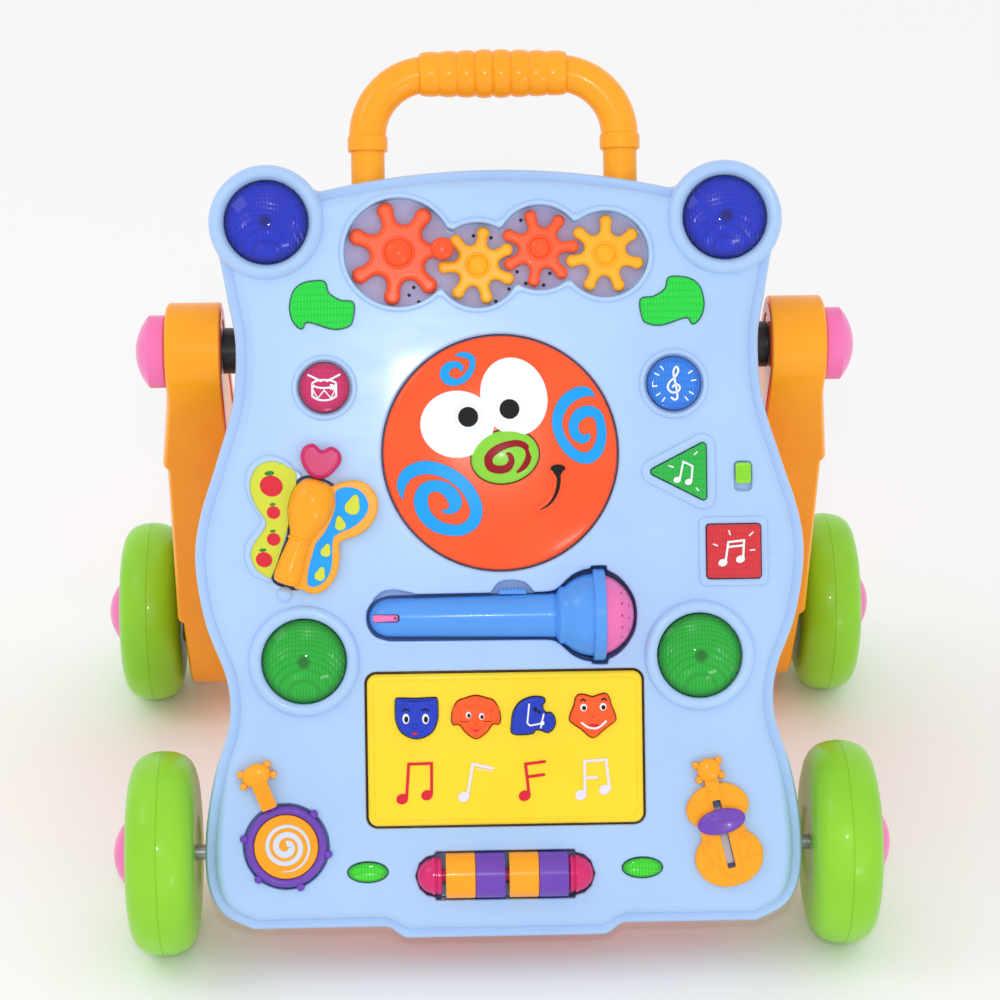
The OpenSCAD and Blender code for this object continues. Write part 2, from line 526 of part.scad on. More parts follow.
body_profile = path([[0, 0], [7.4, -1.6], [11.2, -9], [11.4, -19], [6.4, -30.6], [5.8, -33], [6.8, -42], [7.2, -56]], 4);
module butterfly_flap() color("orange") on_panel() on_hinge() {
    rotate([90, 0, 0]) scale([1, 1, -1]) rotate_extrude() polygon(concat(body_profile, [[0, -56]]));
    slab(wing, -0.8, 1.8);
}
module banjo_ring() color("rebeccapurple") on_panel() at(banjo_at) {
    difference() {
        union() {
            disc(banjo_r, -4.4, 3);
            disc(3, -9, -4.3);
            for (k = [0:5]) rotate(49 + 60 * k) translate([22, 0, 0]) disc(2.3, 0.4, 2.9);
        }
        disc(16.8, -1.9, 5);
    }
}
module banjo_head() color("orange") on_panel() at(banjo_at) disc(16.7, -1.8, 2.4);
module violin_slider() color("rebeccapurple") on_panel() in_violin() translate([0, slider_up, 0]) {
    slab(ellipse([12.8, 6.6]), 4.3, 8);
    disc(1.9, -6, 4.4);
}
module roller(k, tint) color(tint) on_panel() translate([roller_x[k], roller_v, roller_z]) difference() {
    along_x(0, roller_len, roller_r);
    along_x(-1, roller_len + 1, 3.8);
}
module roller_one() roller(0, "orange");
module roller_two() roller(1, "rebeccapurple");
module roller_three() roller(2, "orange");
module roller_four() roller(3, "rebeccapurple");

module on_mic() on_panel() translate([0, mic_v, mic_z]) children();
module mic_barrel() color("cornflowerblue") on_mic() difference() {
    union() {
        along_x(-58, 30, mic_r);
        translate([-58, 0, 0]) sphere(mic_r);
        translate([49, 0, 0]) rotate([0, -90, 0]) dome(21.8, 22.5);
        along_x(48.9, 53.7, collar_r);
    }
    translate([-72, -1.9, 5]) cube([18, 3.8, 8]);
}
module mic_trim() color("hotpink") on_mic() {
    translate([53.8, 0, 0]) rotate([0, 90, 0]) dome(20.8, 15.4);
    translate([-66, -1.7, 5.3]) cube([11.8, 3.4, 4.2]);
}
module mic_switch() color("cornflowerblue") on_mic() translate([0, mic_r + 0.1, 0]) {
    translate([-1, 0.2, -2.5]) cube([14, 2.8, 5]);
    for (k = [0:5]) translate([2.2 * k - 0.2, 2.9, -2.5]) cube([1.1, 0.8, 5]);
}

front_panel();
rear_housing();
battery_door();
battery_cells();
housing_screws();
circuit_board();
speaker();
corner_lenses();
round_lenses();
leaf_lenses();
front_axle();
handle_posts();
handle_bow();
keyboard_plate();
banjo_neck();
violin_body();
heart_cap();
roller_axle();
left_leg();
right_leg();
leg_inner_covers();
pivot_knobs();
rear_axles();
pivot_tube();
front_left_wheel();
front_right_wheel();
rear_left_wheel();
rear_right_wheel();
front_left_cap();
front_right_cap();
rear_left_cap();
rear_right_cap();
gear_one();
gear_two();
gear_three();
gear_four();
face_disc();
nose_button();
drum_button();
clef_button();
triangle_button();
square_button();
left_oval_button();
right_oval_button();
cat_button();
puppy_button();
horse_button();
frog_button();
power_switch();
butterfly_flap();
banjo_ring();
banjo_head();
violin_slider();
roller_one();
roller_two();
roller_three();
roller_four();
mic_barrel();
mic_trim();
mic_switch();
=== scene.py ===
"""The looks of a push-along baby walker.

Every visible piece is modelled in millimetres, most of them in the leaning activity panel's own
axes, dressed in a finish, placed in the walker's frame and made to ride on its moving body.
"""

import json
import logging
import math
from collections.abc import Callable
from dataclasses import dataclass, field
from enum import Enum

import bmesh
import bpy
from mathutils import Matrix, Vector


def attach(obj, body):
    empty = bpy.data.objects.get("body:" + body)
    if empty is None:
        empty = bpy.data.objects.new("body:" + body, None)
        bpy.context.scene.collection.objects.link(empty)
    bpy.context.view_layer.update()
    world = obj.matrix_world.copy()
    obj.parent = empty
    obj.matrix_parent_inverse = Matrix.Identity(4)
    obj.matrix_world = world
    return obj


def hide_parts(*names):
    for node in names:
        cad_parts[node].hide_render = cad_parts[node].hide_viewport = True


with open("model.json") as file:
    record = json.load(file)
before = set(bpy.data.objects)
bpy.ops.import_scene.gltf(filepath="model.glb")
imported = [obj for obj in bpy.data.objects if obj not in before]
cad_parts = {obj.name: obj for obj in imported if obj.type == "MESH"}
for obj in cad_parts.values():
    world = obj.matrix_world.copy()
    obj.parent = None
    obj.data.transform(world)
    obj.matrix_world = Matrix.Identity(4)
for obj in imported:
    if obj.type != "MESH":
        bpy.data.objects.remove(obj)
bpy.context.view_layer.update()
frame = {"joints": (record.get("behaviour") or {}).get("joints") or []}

log = logging.getLogger("baby_walker")

MM = 0.001
Point = tuple[float, float]
Outline = list[Point]
JOINTS = {joint["name"]: joint for joint in frame["joints"]}


# ---------------------------------------------------------------- outlines


def circle(
    radius: float, centre: Point = (0, 0), steps: int = 48, start: float = 0, end: float = 360
) -> Outline:
    """Points on a circle or an arc.

    Args:
        radius: its radius.
        centre: its middle.
        steps: how many points on a whole turn.
        start: the angle of the first point, in degrees.
        end: the angle of the last point; 360 past start leaves the doubled last point out.

    Returns:
        The points, anticlockwise when end is above start.
    """
    whole = abs(end - start) >= 360
    count = steps if whole else max(2, round(steps * abs(end - start) / 360))
    angles = [math.radians(start + (end - start) * i / count) for i in range(count if whole else count + 1)]
    return [(centre[0] + radius * math.cos(a), centre[1] + radius * math.sin(a)) for a in angles]


def ellipse(half: Point, centre: Point = (0, 0), turn: float = 0, steps: int = 48) -> Outline:
    """An ellipse of the given half sizes, turned anticlockwise by turn degrees."""
    flat = [(half[0] * x, half[1] * y) for x, y in circle(1, steps=steps)]
    return placed(flat, centre, turn)


def placed(outline: Outline, centre: Point = (0, 0), turn: float = 0, size: float = 1) -> Outline:
    """An outline scaled, turned by turn degrees and then moved to a centre."""
    c, s = math.cos(math.radians(turn)) * size, math.sin(math.radians(turn)) * size
    return [(centre[0] + x * c - y * s, centre[1] + x * s + y * c) for x, y in outline]


def flipped(outline: Outline) -> Outline:
    """The mirror image across the Y axis, still running the same way round."""
    return [(-x, y) for x, y in reversed(outline)]


def curve_point(a: Point, b: Point, c: Point, d: Point, t: float) -> Point:
    """A point between b and c on the smooth curve through all four."""
    return tuple(
        0.5 * (2 * q + (r - p) * t + (2 * p - 5 * q + 4 * r - s) * t * t + (3 * q - p - 3 * r + s) * t**3)
        for p, q, r, s in zip(a, b, c, d)
    )


def smooth_loop(points: Outline, steps: int = 5) -> Outline:
    """A smooth closed curve through the points, with steps points on each stretch."""
    n = len(points)
    return [
        curve_point(points[i - 1], points[i], points[(i + 1) % n], points[(i + 2) % n], k / steps)
        for i in range(n)
        for k in range(steps)
    ]


def smooth_path(points: Outline, steps: int = 5) -> Outline:
    """A smooth open curve through the points; a point may have more than two values."""
    last = len(points) - 1
    curve = [
        curve_point(points[max(i - 1, 0)], points[i], points[i + 1], points[min(i + 2, last)], k / steps)
        for i in range(last)
        for k in range(steps)
    ]
    return curve + [tuple(points[-1])]


def normals(outline: Outline, closed: bool = True) -> Outline:
    """The direction to the right of travel at each point, outwards on an anticlockwise loop.

    At a corner it is longer than one, so that a moved outline keeps its distance.
    """

    def heading(a: Point, b: Point) -> Point:
        """The unit direction from a to b."""
        length = math.dist(a[:2], b[:2]) or 1
        return (b[0] - a[0]) / length, (b[1] - a[1]) / length

    n = len(outline)
    found = []
    for i, point in enumerate(outline):
        after = heading(point, outline[(i + 1) % n]) if closed or i < n - 1 else None
        before = heading(outline[i - 1], point) if closed or i > 0 else after
        after = after or before
        x, y = before[0] + after[0], before[1] + after[1]
        scale = 2 / max(x * x + y * y, 1.6)
        found.append((y * scale, -x * scale))
    return found


def facing(outline: Outline) -> Outline:
    """The outline turned anticlockwise."""
    area = sum(a[0] * b[1] - b[0] * a[1] for a, b in zip(outline, outline[1:] + outline[:1]))
    return outline if area > 0 else outline[::-1]


def grown(outline: Outline, distance: float) -> Outline:
    """A closed anticlockwise outline moved outwards."""
    return [(x + distance * nx, y + distance * ny) for (x, y), (nx, ny) in zip(outline, normals(outline))]


def rounded(points: Outline, radius: float, steps: int = 32) -> Outline:
    """The outline of equal circles that stand at the corners of an anticlockwise convex shape."""
    outline = []
    for i, corner in enumerate(points):
        before, after = points[i - 1], points[(i + 1) % len(points)]
        start = math.degrees(math.atan2(corner[1] - before[1], corner[0] - before[0])) - 90
        end = math.degrees(math.atan2(after[1] - corner[1], after[0] - corner[0])) - 90
        while end <= start:
            end += 360
        outline += circle(radius, corner, steps, start, end)
    return outline


def box_outline(half: Point, radius: float, centre: Point = (0, 0)) -> Outline:
    """A rectangle with round corners."""
    x, y = half[0] - radius, half[1] - radius
    return placed(rounded([(x, -y), (x, y), (-x, y), (-x, -y)], radius), centre)


def ribbon(spine: list[tuple[float, float, float]], steps: int = 4) -> Outline:
    """The outline of a band whose spine points each give x, y and the band's width there."""
    smooth = smooth_path(spine, steps)
    sides = normals([p[:2] for p in smooth], closed=False)
    right = [(p[0] + p[2] / 2 * n[0], p[1] + p[2] / 2 * n[1]) for p, n in zip(smooth, sides)]
    left = [(p[0] - p[2] / 2 * n[0], p[1] - p[2] / 2 * n[1]) for p, n in zip(smooth, sides)]
    return right + left[::-1]


def scallops(circles: list[tuple[Point, float]], steps: int = 96, soft: float = 1.1) -> Outline:
    """The outer outline of a row of overlapping circles, from left to right and back.

    Args:
        circles: each circle's centre and radius.
        steps: points on a whole circle.
        soft: how far the points keep off the corners between circles.
    """

    def inside(point: Point, skip: int) -> bool:
        """True if a point of one circle lies inside another, or very near it."""
        return any(
            math.dist(point, centre) < radius + soft
            for i, (centre, radius) in enumerate(circles)
            if i != skip
        )

    lower, upper = [], []
    for i, (centre, radius) in enumerate(circles):
        lower += [p for p in circle(radius, centre, steps)[steps // 2 :] if not inside(p, i)]
    for i, (centre, radius) in reversed(list(enumerate(circles))):
        upper += [p for p in circle(radius, centre, steps)[: steps // 2] if not inside(p, i)]
    return lower + upper


# ---------------------------------------------------------------- meshes


def lofted(outline: Outline, rings: list[Point]) -> bmesh.types.BMesh:
    """A closed solid that grows ring by ring from one outline.

    Args:
        outline: an anticlockwise outline.
        rings: an (offset, height) pair for each ring, from the bottom up.

    Returns:
        The solid as a bmesh.
    """
    bm = bmesh.new()
    place = bm.verts.layers.int.new("place")
    sides = normals(outline)
    verts = [bm.verts.new((x, y, 0)) for x, y in outline]
    for i, vert in enumerate(verts):
        vert[place] = i
    edges = [bm.edges.new((verts[i - 1], verts[i])) for i in range(len(verts))]
    bm.faces.new(verts)
    for step, (offset, height) in enumerate(rings):
        if step:
            made = bmesh.ops.extrude_edge_only(bm, edges=edges)["geom"]
            verts = [g for g in made if isinstance(g, bmesh.types.BMVert)]
            fresh = set(verts)
            edges = [g for g in made if isinstance(g, bmesh.types.BMEdge) and fresh.issuperset(g.verts)]
        for vert in verts:
            (x, y), (nx, ny) = outline[vert[place]], sides[vert[place]]
            vert.co = (x + offset * nx, y + offset * ny, height)
    bmesh.ops.edgeloop_fill(bm, edges=edges)
    bmesh.ops.recalc_face_normals(bm, faces=bm.faces[:])
    return bm


def pillow(
    outline: Outline, low: float, high: float, soft: float, under: float = 0.3, steps: int = 4
) -> bmesh.types.BMesh:
    """A slab whose top edge is rounded off and whose bottom edge is only broken.

    Args:
        outline: the slab's widest outline.
        low: height of its bottom.
        high: height of its top.
        soft: radius of the top edge.
        under: radius of the bottom edge.
        steps: rings in the top edge.
    """
    quarter = [math.radians(90 * i / steps) for i in range(steps + 1)]
    top = [(-soft * (1 - math.cos(a)), high - soft * (1 - math.sin(a))) for a in quarter]
    return lofted(outline, [(-under, low), (0, low + under)] + top)


def pocket(outline: Outline, floor: float, flare: float = 1.0, soft: float = 1.0) -> bmesh.types.BMesh:
    """A cutting tool for a recess with a rounded mouth and a rounded floor, for a face at height 0."""
    mouth = [(flare * (1 - math.cos(a)), -flare * (1 - math.sin(a))) for a in (0, 0.5, 1.0, 1.35, 1.55)]
    return lofted(
        outline,
        [(-soft, floor), (-soft * 0.3, floor + soft * 0.3), (0, floor + soft)] + mouth + [(flare * 1.3, 12)]
    )


def turned(profile: Outline, closed: bool = False, steps: int = 64) -> bmesh.types.BMesh:
    """A shape turned on the Z axis from (radius, height) points; closed joins the last to the first."""
    bm = bmesh.new()
    verts = [bm.verts.new((radius, 0, height)) for radius, height in profile]
    edges = [bm.edges.new(pair) for pair in zip(verts, verts[1:])]
    if closed:
        edges.append(bm.edges.new((verts[-1], verts[0])))
    bmesh.ops.spin(
        bm, geom=verts + edges, cent=(0, 0, 0), axis=(0, 0, 1), angle=math.tau, steps=steps, use_merge=True
    )
    bmesh.ops.remove_doubles(bm, verts=bm.verts[:], dist=1e-4)
    bmesh.ops.recalc_face_normals(bm, faces=bm.faces[:])
    return bm


def cap_profile(radius: float, rise: float, base: float = 0, steps: int = 12) -> Outline:
    """The (radius, height) points of a spherical cap, from its edge to its top."""
    ball = (radius * radius + rise * rise) / (2 * rise)
    span = math.asin(min(1, radius / ball)) if rise <= ball else math.pi - math.asin(radius / ball)
    return [
        (
            ball * math.sin(span * (1 - i / steps)),
            base + rise - ball + ball * math.cos(span * (1 - i / steps))
        )
        for i in range(steps)
    ] + [(0, base + rise)]


def swell_profile(radius: float, rise: float, base: float = 0, steps: int = 12) -> Outline:
    """The (radius, height) points of half an oval, from its upright edge to its top."""
    angles = [math.radians(90 * i / steps) for i in range(steps)]
    return [(radius * math.cos(a), base + rise * math.sin(a)) for a in angles] + [(0, base + rise)]


def bead(path: list, radius: float, closed: bool = False, sides: int = 3) -> bmesh.types.BMesh:
    """A round bead along a path.

    Args:
        path: points of two, three or four values: x, y, height and the bead's size there.
        radius: the bead's radius where the size is 1.
        closed: True for a loop.
        sides: roundness of the bead.
    """
    line = bpy.data.curves.new("bead", "CURVE")
    line.dimensions, line.bevel_depth, line.bevel_resolution, line.use_fill_caps = "3D", radius, sides, True
    spline = line.splines.new("POLY")
    spline.points.add(len(path) - 1)
    for point, place in zip(spline.points, path):
        x, y, z, size = (*place, 0, 1)[:4] if len(place) == 2 else (*place, 1)[:4]
        point.co, point.radius = (x, y, z, 1), size
    spline.use_cyclic_u = closed
    holder = bpy.data.objects.new("bead", line)
    mesh = bpy.data.meshes.new_from_object(holder)
    bm = bmesh.new()
    bm.from_mesh(mesh)
    bpy.data.objects.remove(holder)
    bpy.data.curves.remove(line)
    bpy.data.meshes.remove(mesh)
    bmesh.ops.remove_doubles(bm, verts=bm.verts[:], dist=1e-4)
    bmesh.ops.recalc_face_normals(bm, faces=bm.faces[:])
    return bm


def merged(*parts: bmesh.types.BMesh) -> bmesh.types.BMesh:
    """All the parts in the first one, as separate closed shells."""
    whole = parts[0]
    for part in parts[1:]:
        carrier = bpy.data.meshes.new("carrier")
        part.to_mesh(carrier)
        part.free()
        whole.from_mesh(carrier)
        bpy.data.meshes.remove(carrier)
    return whole


def moved(
    bm: bmesh.types.BMesh, x: float = 0, y: float = 0, z: float = 0, turn: float = 0
) -> bmesh.types.BMesh:
    """The bmesh, turned about Z by turn degrees and then moved."""
    bm.transform(Matrix.Translation((x, y, z)) @ Matrix.Rotation(math.radians(turn), 4, "Z"))
    return bm


def tipped(bm: bmesh.types.BMesh, degrees: float, axis: str) -> bmesh.types.BMesh:
    """The bmesh, turned about one of its axes."""
    bm.transform(Matrix.Rotation(math.radians(degrees), 4, axis))
    return bm


def mirrored(bm: bmesh.types.BMesh) -> bmesh.types.BMesh:
    """A mirror image of the bmesh across X, turned right side out. The original is kept."""
    twin = bm.copy()
    twin.transform(Matrix.Diagonal((-1, 1, 1, 1)))
    bmesh.ops.reverse_faces(twin, faces=twin.faces[:])
    return twin


def carved(
    solid: bmesh.types.BMesh, tools: list[bmesh.types.BMesh] = (), extras: list[bmesh.types.BMesh] = ()
) -> bmesh.types.BMesh:
    """The solid with the extras joined on and then the tools cut out of it."""
    jobs = [("UNION", shape) for shape in extras] + [("DIFFERENCE", shape) for shape in tools]
    holders = []
    for name, shape in [("solid", solid)] + jobs:
        mesh = bpy.data.meshes.new(name)
        shape.to_mesh(mesh)
        shape.free()
        holder = bpy.data.objects.new(name, mesh)
        bpy.context.scene.collection.objects.link(holder)
        holders.append(holder)
    for (operation, _), holder in zip(jobs, holders[1:]):
        modifier = holders[0].modifiers.new(operation, "BOOLEAN")
        modifier.operation, modifier.object, modifier.solver = operation, holder, "MANIFOLD"
    shaped = holders[0].evaluated_get(bpy.context.evaluated_depsgraph_get())
    result = bmesh.new()
    result.from_mesh(shaped.to_mesh())
    for holder in holders:
        mesh = holder.data
        bpy.data.objects.remove(holder)
        bpy.data.meshes.remove(mesh)
    bmesh.ops.remove_doubles(result, verts=result.verts[:], dist=2e-4)
    bmesh.ops.dissolve_degenerate(result, edges=result.edges[:], dist=1e-4)
    return result


# ---------------------------------------------------------------- finishes


def linear(code: str, alpha: float = 1) -> tuple[float, float, float, float]:
    """An sRGB hex colour as linear light."""
    values = [int(code[i : i + 2], 16) / 255 for i in (0, 2, 4)]
    return (*(v / 12.92 if v <= 0.04045 else ((v + 0.055) / 1.055) ** 2.4 for v in values), alpha)


def add(tree: bpy.types.NodeTree, kind: str, links: dict = {}, **settings) -> bpy.types.Node:
    """Adds a shader node.

    Args:
        tree: the material's node tree.
        kind: the node's type, without its "ShaderNode" beginning.
        links: input name or number to a value, or to the output socket that feeds it.
        settings: the node's own properties.

    Returns:
        The node.
    """
    node = tree.nodes.new("ShaderNode" + kind)
    for key, value in settings.items():
        setattr(node, key, value)
    for key, value in links.items():
        if isinstance(value, bpy.types.NodeSocket):
            tree.links.new(value, node.inputs[key])
        else:
            node.inputs[key].default_value = value
    return node


def new_tree(name: str) -> tuple[bpy.types.Material, bpy.types.NodeTree, bpy.types.NodeSocket]:
    """An empty node material, its tree and its Object coordinates."""
    material = bpy.data.materials.new(name)
    material.use_nodes = True
    tree = material.node_tree
    tree.nodes.clear()
    return material, tree, add(tree, "TexCoord").outputs["Object"]


def shade(tree: bpy.types.NodeTree, links: dict) -> None:
    """Adds the surface shader with its inputs, and the output."""
    shader = add(tree, "BsdfPrincipled", links)
    add(tree, "OutputMaterial", {"Surface": shader.outputs[0]})


@dataclass(frozen=True)
class MouldedAbs:
    """Coloured ABS from a polished tool: a glossy skin with faint orange peel and handling marks."""

    name: str
    colour: str
    deep: str
    roughness: float = 0.24
    cloud_mm: float = 45
    peel_mm: float = 1.6
    peel_depth_mm: float = 0.012
    scuff_mm: float = 2.4

    def material(self) -> bpy.types.Material:
        """Builds the material."""
        material, tree, coords = new_tree(self.name)
        cloud = add(tree, "TexNoise", {"Vector": coords, "Scale": 1 / (self.cloud_mm * MM), "Detail": 3.0})
        tone = add(tree, "MapRange", {"Value": cloud.outputs[0], 1: 0.38, 2: 0.72, 3: 0.0, 4: 0.55})
        colour = add(
            tree,
            "Mix",
            {0: tone.outputs[0], 6: linear(self.colour), 7: linear(self.deep)},
            data_type="RGBA",
        )
        stretch = add(tree, "Mapping", {"Vector": coords, "Rotation": (0.3, 0.5, 0.9), "Scale": (1, 5, 1)})
        scuff = add(
            tree, "TexNoise",
            {"Vector": stretch.outputs[0], "Scale": 0.1 / (self.scuff_mm * MM), "Detail": 5.0}
        )
        rough = add(
            tree,
            "MapRange",
            {
                "Value": scuff.outputs[0], 1: 0.35, 2: 0.75, 3: self.roughness - 0.015,
                4: self.roughness + 0.035
            },
        )
        peel = add(tree, "TexNoise", {"Vector": coords, "Scale": 1 / (self.peel_mm * MM), "Detail": 1.0})
        bump = add(
            tree, "Bump", {"Height": peel.outputs[0], "Strength": 0.6, "Distance": self.peel_depth_mm * MM}
        )
        shade(
            tree,
            {
                "Base Color": colour.outputs[2],
                "Roughness": rough.outputs[0],
                "Normal": bump.outputs[0],
                "IOR": 1.5,
                "Specular IOR Level": 0.3,
                "Coat Weight": 0.12,
                "Coat Roughness": 0.06,
            },
        )
        return material


@dataclass(frozen=True)
class PrismLens:
    """Tinted clear plastic with small prisms moulded into it: a fine grid that catches the light.

    The piece carries a "reach" attribute, 0 in its middle and 1 at its edge; the colour is painted from it,
    darker in the very middle, lighter in a ring as painted light and darker at the edge as painted shade.
    """

    name: str
    colour: str
    deep: str
    tilt: float
    pitch_mm: float = 1.7

    def material(self) -> bpy.types.Material:
        """Builds the material."""
        material, tree, coords = new_tree(self.name)
        flat = add(tree, "Mapping", {"Vector": coords, "Rotation": (-self.tilt, 0, 0)})
        parts = add(tree, "SeparateXYZ", {0: flat.outputs[0]})
        half = self.pitch_mm * MM / 2
        across = add(tree, "Math", {0: parts.outputs[0], 1: half}, operation="PINGPONG")
        along = add(tree, "Math", {0: parts.outputs[1], 1: half}, operation="PINGPONG")
        prism = add(tree, "Math", {0: across.outputs[0], 1: along.outputs[0]}, operation="MINIMUM")
        # The grooves between the prisms are painted darker: painted shade.
        groove_shade = add(tree, "MapRange", {"Value": prism.outputs[0], 1: 0.0, 2: half * 0.5, 3: 0.55, 4: 0.0})
        # A ramp over reach paints the lens: darker middle, a lighter ring of painted light, painted shade at
        # the edge.
        reach = add(tree, "Attribute", attribute_name="reach")
        painted_light_ring = add(tree, "ValToRGB", {0: reach.outputs["Fac"]})
        stops = painted_light_ring.color_ramp.elements
        stops[0].position, stops[0].color = 0.1, linear(self.deep)
        stops[1].position, stops[1].color = 1.0, linear(self.deep)
        for place in (0.2, 0.8):
            stops.new(place).color = linear(self.colour)
        colour = add(
            tree,
            "Mix",
            {0: groove_shade.outputs[0], 6: painted_light_ring.outputs[0], 7: linear(self.deep)},
            data_type="RGBA",
        )
        bump = add(tree, "Bump", {"Height": prism.outputs[0], "Strength": 0.5, "Distance": 1.0})
        shade(
            tree,
            {
                "Base Color": colour.outputs[2],
                "Normal": bump.outputs[0],
                "Roughness": 0.2,
                "IOR": 1.49,
                "Specular IOR Level": 0.35,
                "Coat Weight": 0.35,
                "Coat Roughness": 0.03,
            },
        )
        return material


@dataclass(frozen=True)
class Metal:
    """Bare or painted steel bar: long fine draw marks along X."""

    name: str
    colour: str
    metallic: float = 1.0
    roughness: float = 0.3
    mark_mm: float = 0.8

    def material(self) -> bpy.types.Material:
        """Builds the material."""
        material, tree, coords = new_tree(self.name)
        stretch = add(tree, "Mapping", {"Vector": coords, "Scale": (0.04, 1, 1)})
        marks = add(
            tree, "TexNoise",
            {"Vector": stretch.outputs[0], "Scale": 1 / (self.mark_mm * MM), "Detail": 4.0}
        )
        rough = add(
            tree,
            "MapRange",
            {"Value": marks.outputs[0], 1: 0.3, 2: 0.7, 3: self.roughness - 0.06, 4: self.roughness + 0.12},
        )
        bump = add(tree, "Bump", {"Height": marks.outputs[0], "Strength": 0.3, "Distance": 0.02 * MM})
        shade(
            tree,
            {
                "Base Color": linear(self.colour),
                "Metallic": self.metallic,
                "Roughness": rough.outputs[0],
                "Normal": bump.outputs[0],
            },
        )
        return material


@dataclass(frozen=True)
class Print:
    """Ink on vinyl or a pad print: flat colour under a thin satin varnish with a paper-fine tooth."""

    name: str
    colour: str
    deep: str
    roughness: float = 0.38
    tooth_mm: float = 0.5

    def material(self) -> bpy.types.Material:
        """Builds the material."""
        material, tree, coords = new_tree(self.name)
        tooth = add(tree, "TexNoise", {"Vector": coords, "Scale": 1 / (self.tooth_mm * MM), "Detail": 2.0})
        tone = add(tree, "MapRange", {"Value": tooth.outputs[0], 1: 0.3, 2: 0.7, 3: 0.0, 4: 0.5})
        colour = add(
            tree,
            "Mix",
            {0: tone.outputs[0], 6: linear(self.colour), 7: linear(self.deep)},
            data_type="RGBA",
        )
        bump = add(tree, "Bump", {"Height": tooth.outputs[0], "Strength": 0.25, "Distance": 0.01 * MM})
        shade(
            tree,
            {
                "Base Color": colour.outputs[2],
                "Roughness": self.roughness,
                "Normal": bump.outputs[0],
                "Specular IOR Level": 0.25,
            },
        )
        return material


# ---------------------------------------------------------------- placing


def panel_frame() -> Matrix:
    """The activity panel's own axes in millimetres: X across, Y up its face, Z out of its face."""
    joint = JOINTS["face_turn"]
    axis = Vector(joint["axis"])
    turn = Matrix.Rotation(math.atan2(-axis.y, axis.z), 4, "X")
    origin = Vector(joint["pos_m"]) - (turn @ Vector((0.5, 24.6, 0))) * MM
    return Matrix.Translation(origin) @ turn @ Matrix.Scale(MM, 4)


PANEL = panel_frame()
WALKER = Matrix.Scale(MM, 4)
Finish = MouldedAbs | PrismLens | Metal | Print
_finished: dict = {}


def show(
    name: str,
    shape: bmesh.types.BMesh,
    finish: Finish,
    body: str,
    slot: str,
    *nodes: str,
    space: Matrix = PANEL,
    sharp: float = 38,
) -> bpy.types.Object:
    """Turns a shape into a finished piece of the walker.

    Args:
        name: the piece's name.
        shape: its bmesh, in millimetres; it is used up.
        finish: the finish it is dressed in.
        body: the moving body it rides on.
        slot: the material slot of its finish; not used.
        nodes: the CAD nodes that it stands for.
        space: the axes that the shape was drawn in.
        sharp: the angle above which an edge is drawn crisp, in degrees.

    Returns:
        The object.
    """
    shape.transform(space)
    bmesh.ops.recalc_face_normals(shape, faces=shape.faces[:])
    mesh = bpy.data.meshes.new(name)
    shape.to_mesh(mesh)
    shape.free()
    mesh.shade_smooth()
    mesh.set_sharp_from_angle(angle=math.radians(sharp))
    if finish not in _finished:
        _finished[finish] = finish.material()
    mesh.materials.append(_finished[finish])
    piece = bpy.data.objects.new(name, mesh)
    bpy.context.scene.collection.objects.link(piece)
    weighted = piece.modifiers.new("shading", "WEIGHTED_NORMAL")
    weighted.keep_sharp = True
    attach(piece, body)
    if nodes:
        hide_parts(*nodes)
    log.info("%s: %d faces", name, len(mesh.polygons))
    return piece


BLUE_PANEL = MouldedAbs("panel_blue_abs", "ABCBF4", "A2C2EE")
# Lavender for the gear tray floor: painted shade of the recess and painted reflection of the gears on the
# pale blue plastic.
TRAY_SHADE_TINT = MouldedAbs("gear_tray_abs", "B4B0DA", "ABA6D2", roughness=0.32)
ORANGE_RED = MouldedAbs("housing_abs", "E8562E", "D84A22")
AMBER = MouldedAbs("amber_abs", "FFA616", "F79A08")
LIME = MouldedAbs("wheel_abs", "8FD42C", "7CC01C", roughness=0.34, scuff_mm=1.2)
PINK = MouldedAbs("pink_abs", "F277B8", "E868AC")
BLACK = Metal("black_tube_paint", "0C0C0E", metallic=0.0, roughness=0.34)
STEEL = Metal("axle_steel", "B8B8BC")
GEAR_RED = MouldedAbs("gear_red_abs", "FE5A26", "F04C18")
GEAR_YELLOW = MouldedAbs("gear_yellow_abs", "FFB014", "F8A206")
FACE_RED = MouldedAbs("face_abs", "FF5A26", "F84C16", roughness=0.2)
YELLOW = MouldedAbs("plate_abs", "F6D826", "EFCE18")
PURPLE = MouldedAbs("purple_abs", "6F44B4", "6438A8")
MIC_BLUE = MouldedAbs("mic_abs", "559CF0", "4A92EA")
MAGENTA = MouldedAbs("magenta_abs", "D8256E", "C81C60")
ANIMAL_BLUE = MouldedAbs("animal_blue_abs", "1236C0", "0C2CA8")
ANIMAL_ORANGE = MouldedAbs("animal_orange_abs", "FC5A1C", "F04C10")
SLIDER_GREEN = MouldedAbs("slider_abs", "93E030", "86D224")
NOSE_GREEN = MouldedAbs("nose_abs", "8CD63E", "80CA32")
MAROON = MouldedAbs("plate_seal_abs", "4A1410", "3E100C")
CRIMSON = MouldedAbs("heart_abs", "CC2468", "BE1C5C")
DARK = MouldedAbs("dark_abs", "101014", "08080A", roughness=0.5)
BOARD = Print("solder_mask", "0E5A34", "0A4A2A")
CELL = Metal("cell_wrap", "55585E", metallic=0.7)
INK_WHITE = Print("white_ink", "F4F6FA", "E6E9F0", roughness=0.3)
INK_PEARL = Print("pearl_ink", "E6E1F2", "DDD6EC")
INK_BLACK = Print("black_ink", "070709", "050506", roughness=0.5)
INK_RED = Print("red_ink", "DC1A34", "CC1430")
INK_BLUE = Print("blue_ink", "17A2F4", "1096EA", roughness=0.3)
INK_WINE = Print("wine_ink", "98081C", "880616", roughness=0.3)
PALE_INK = Print("pale_ink", "D4DDEE", "C4CFE6", roughness=0.25)
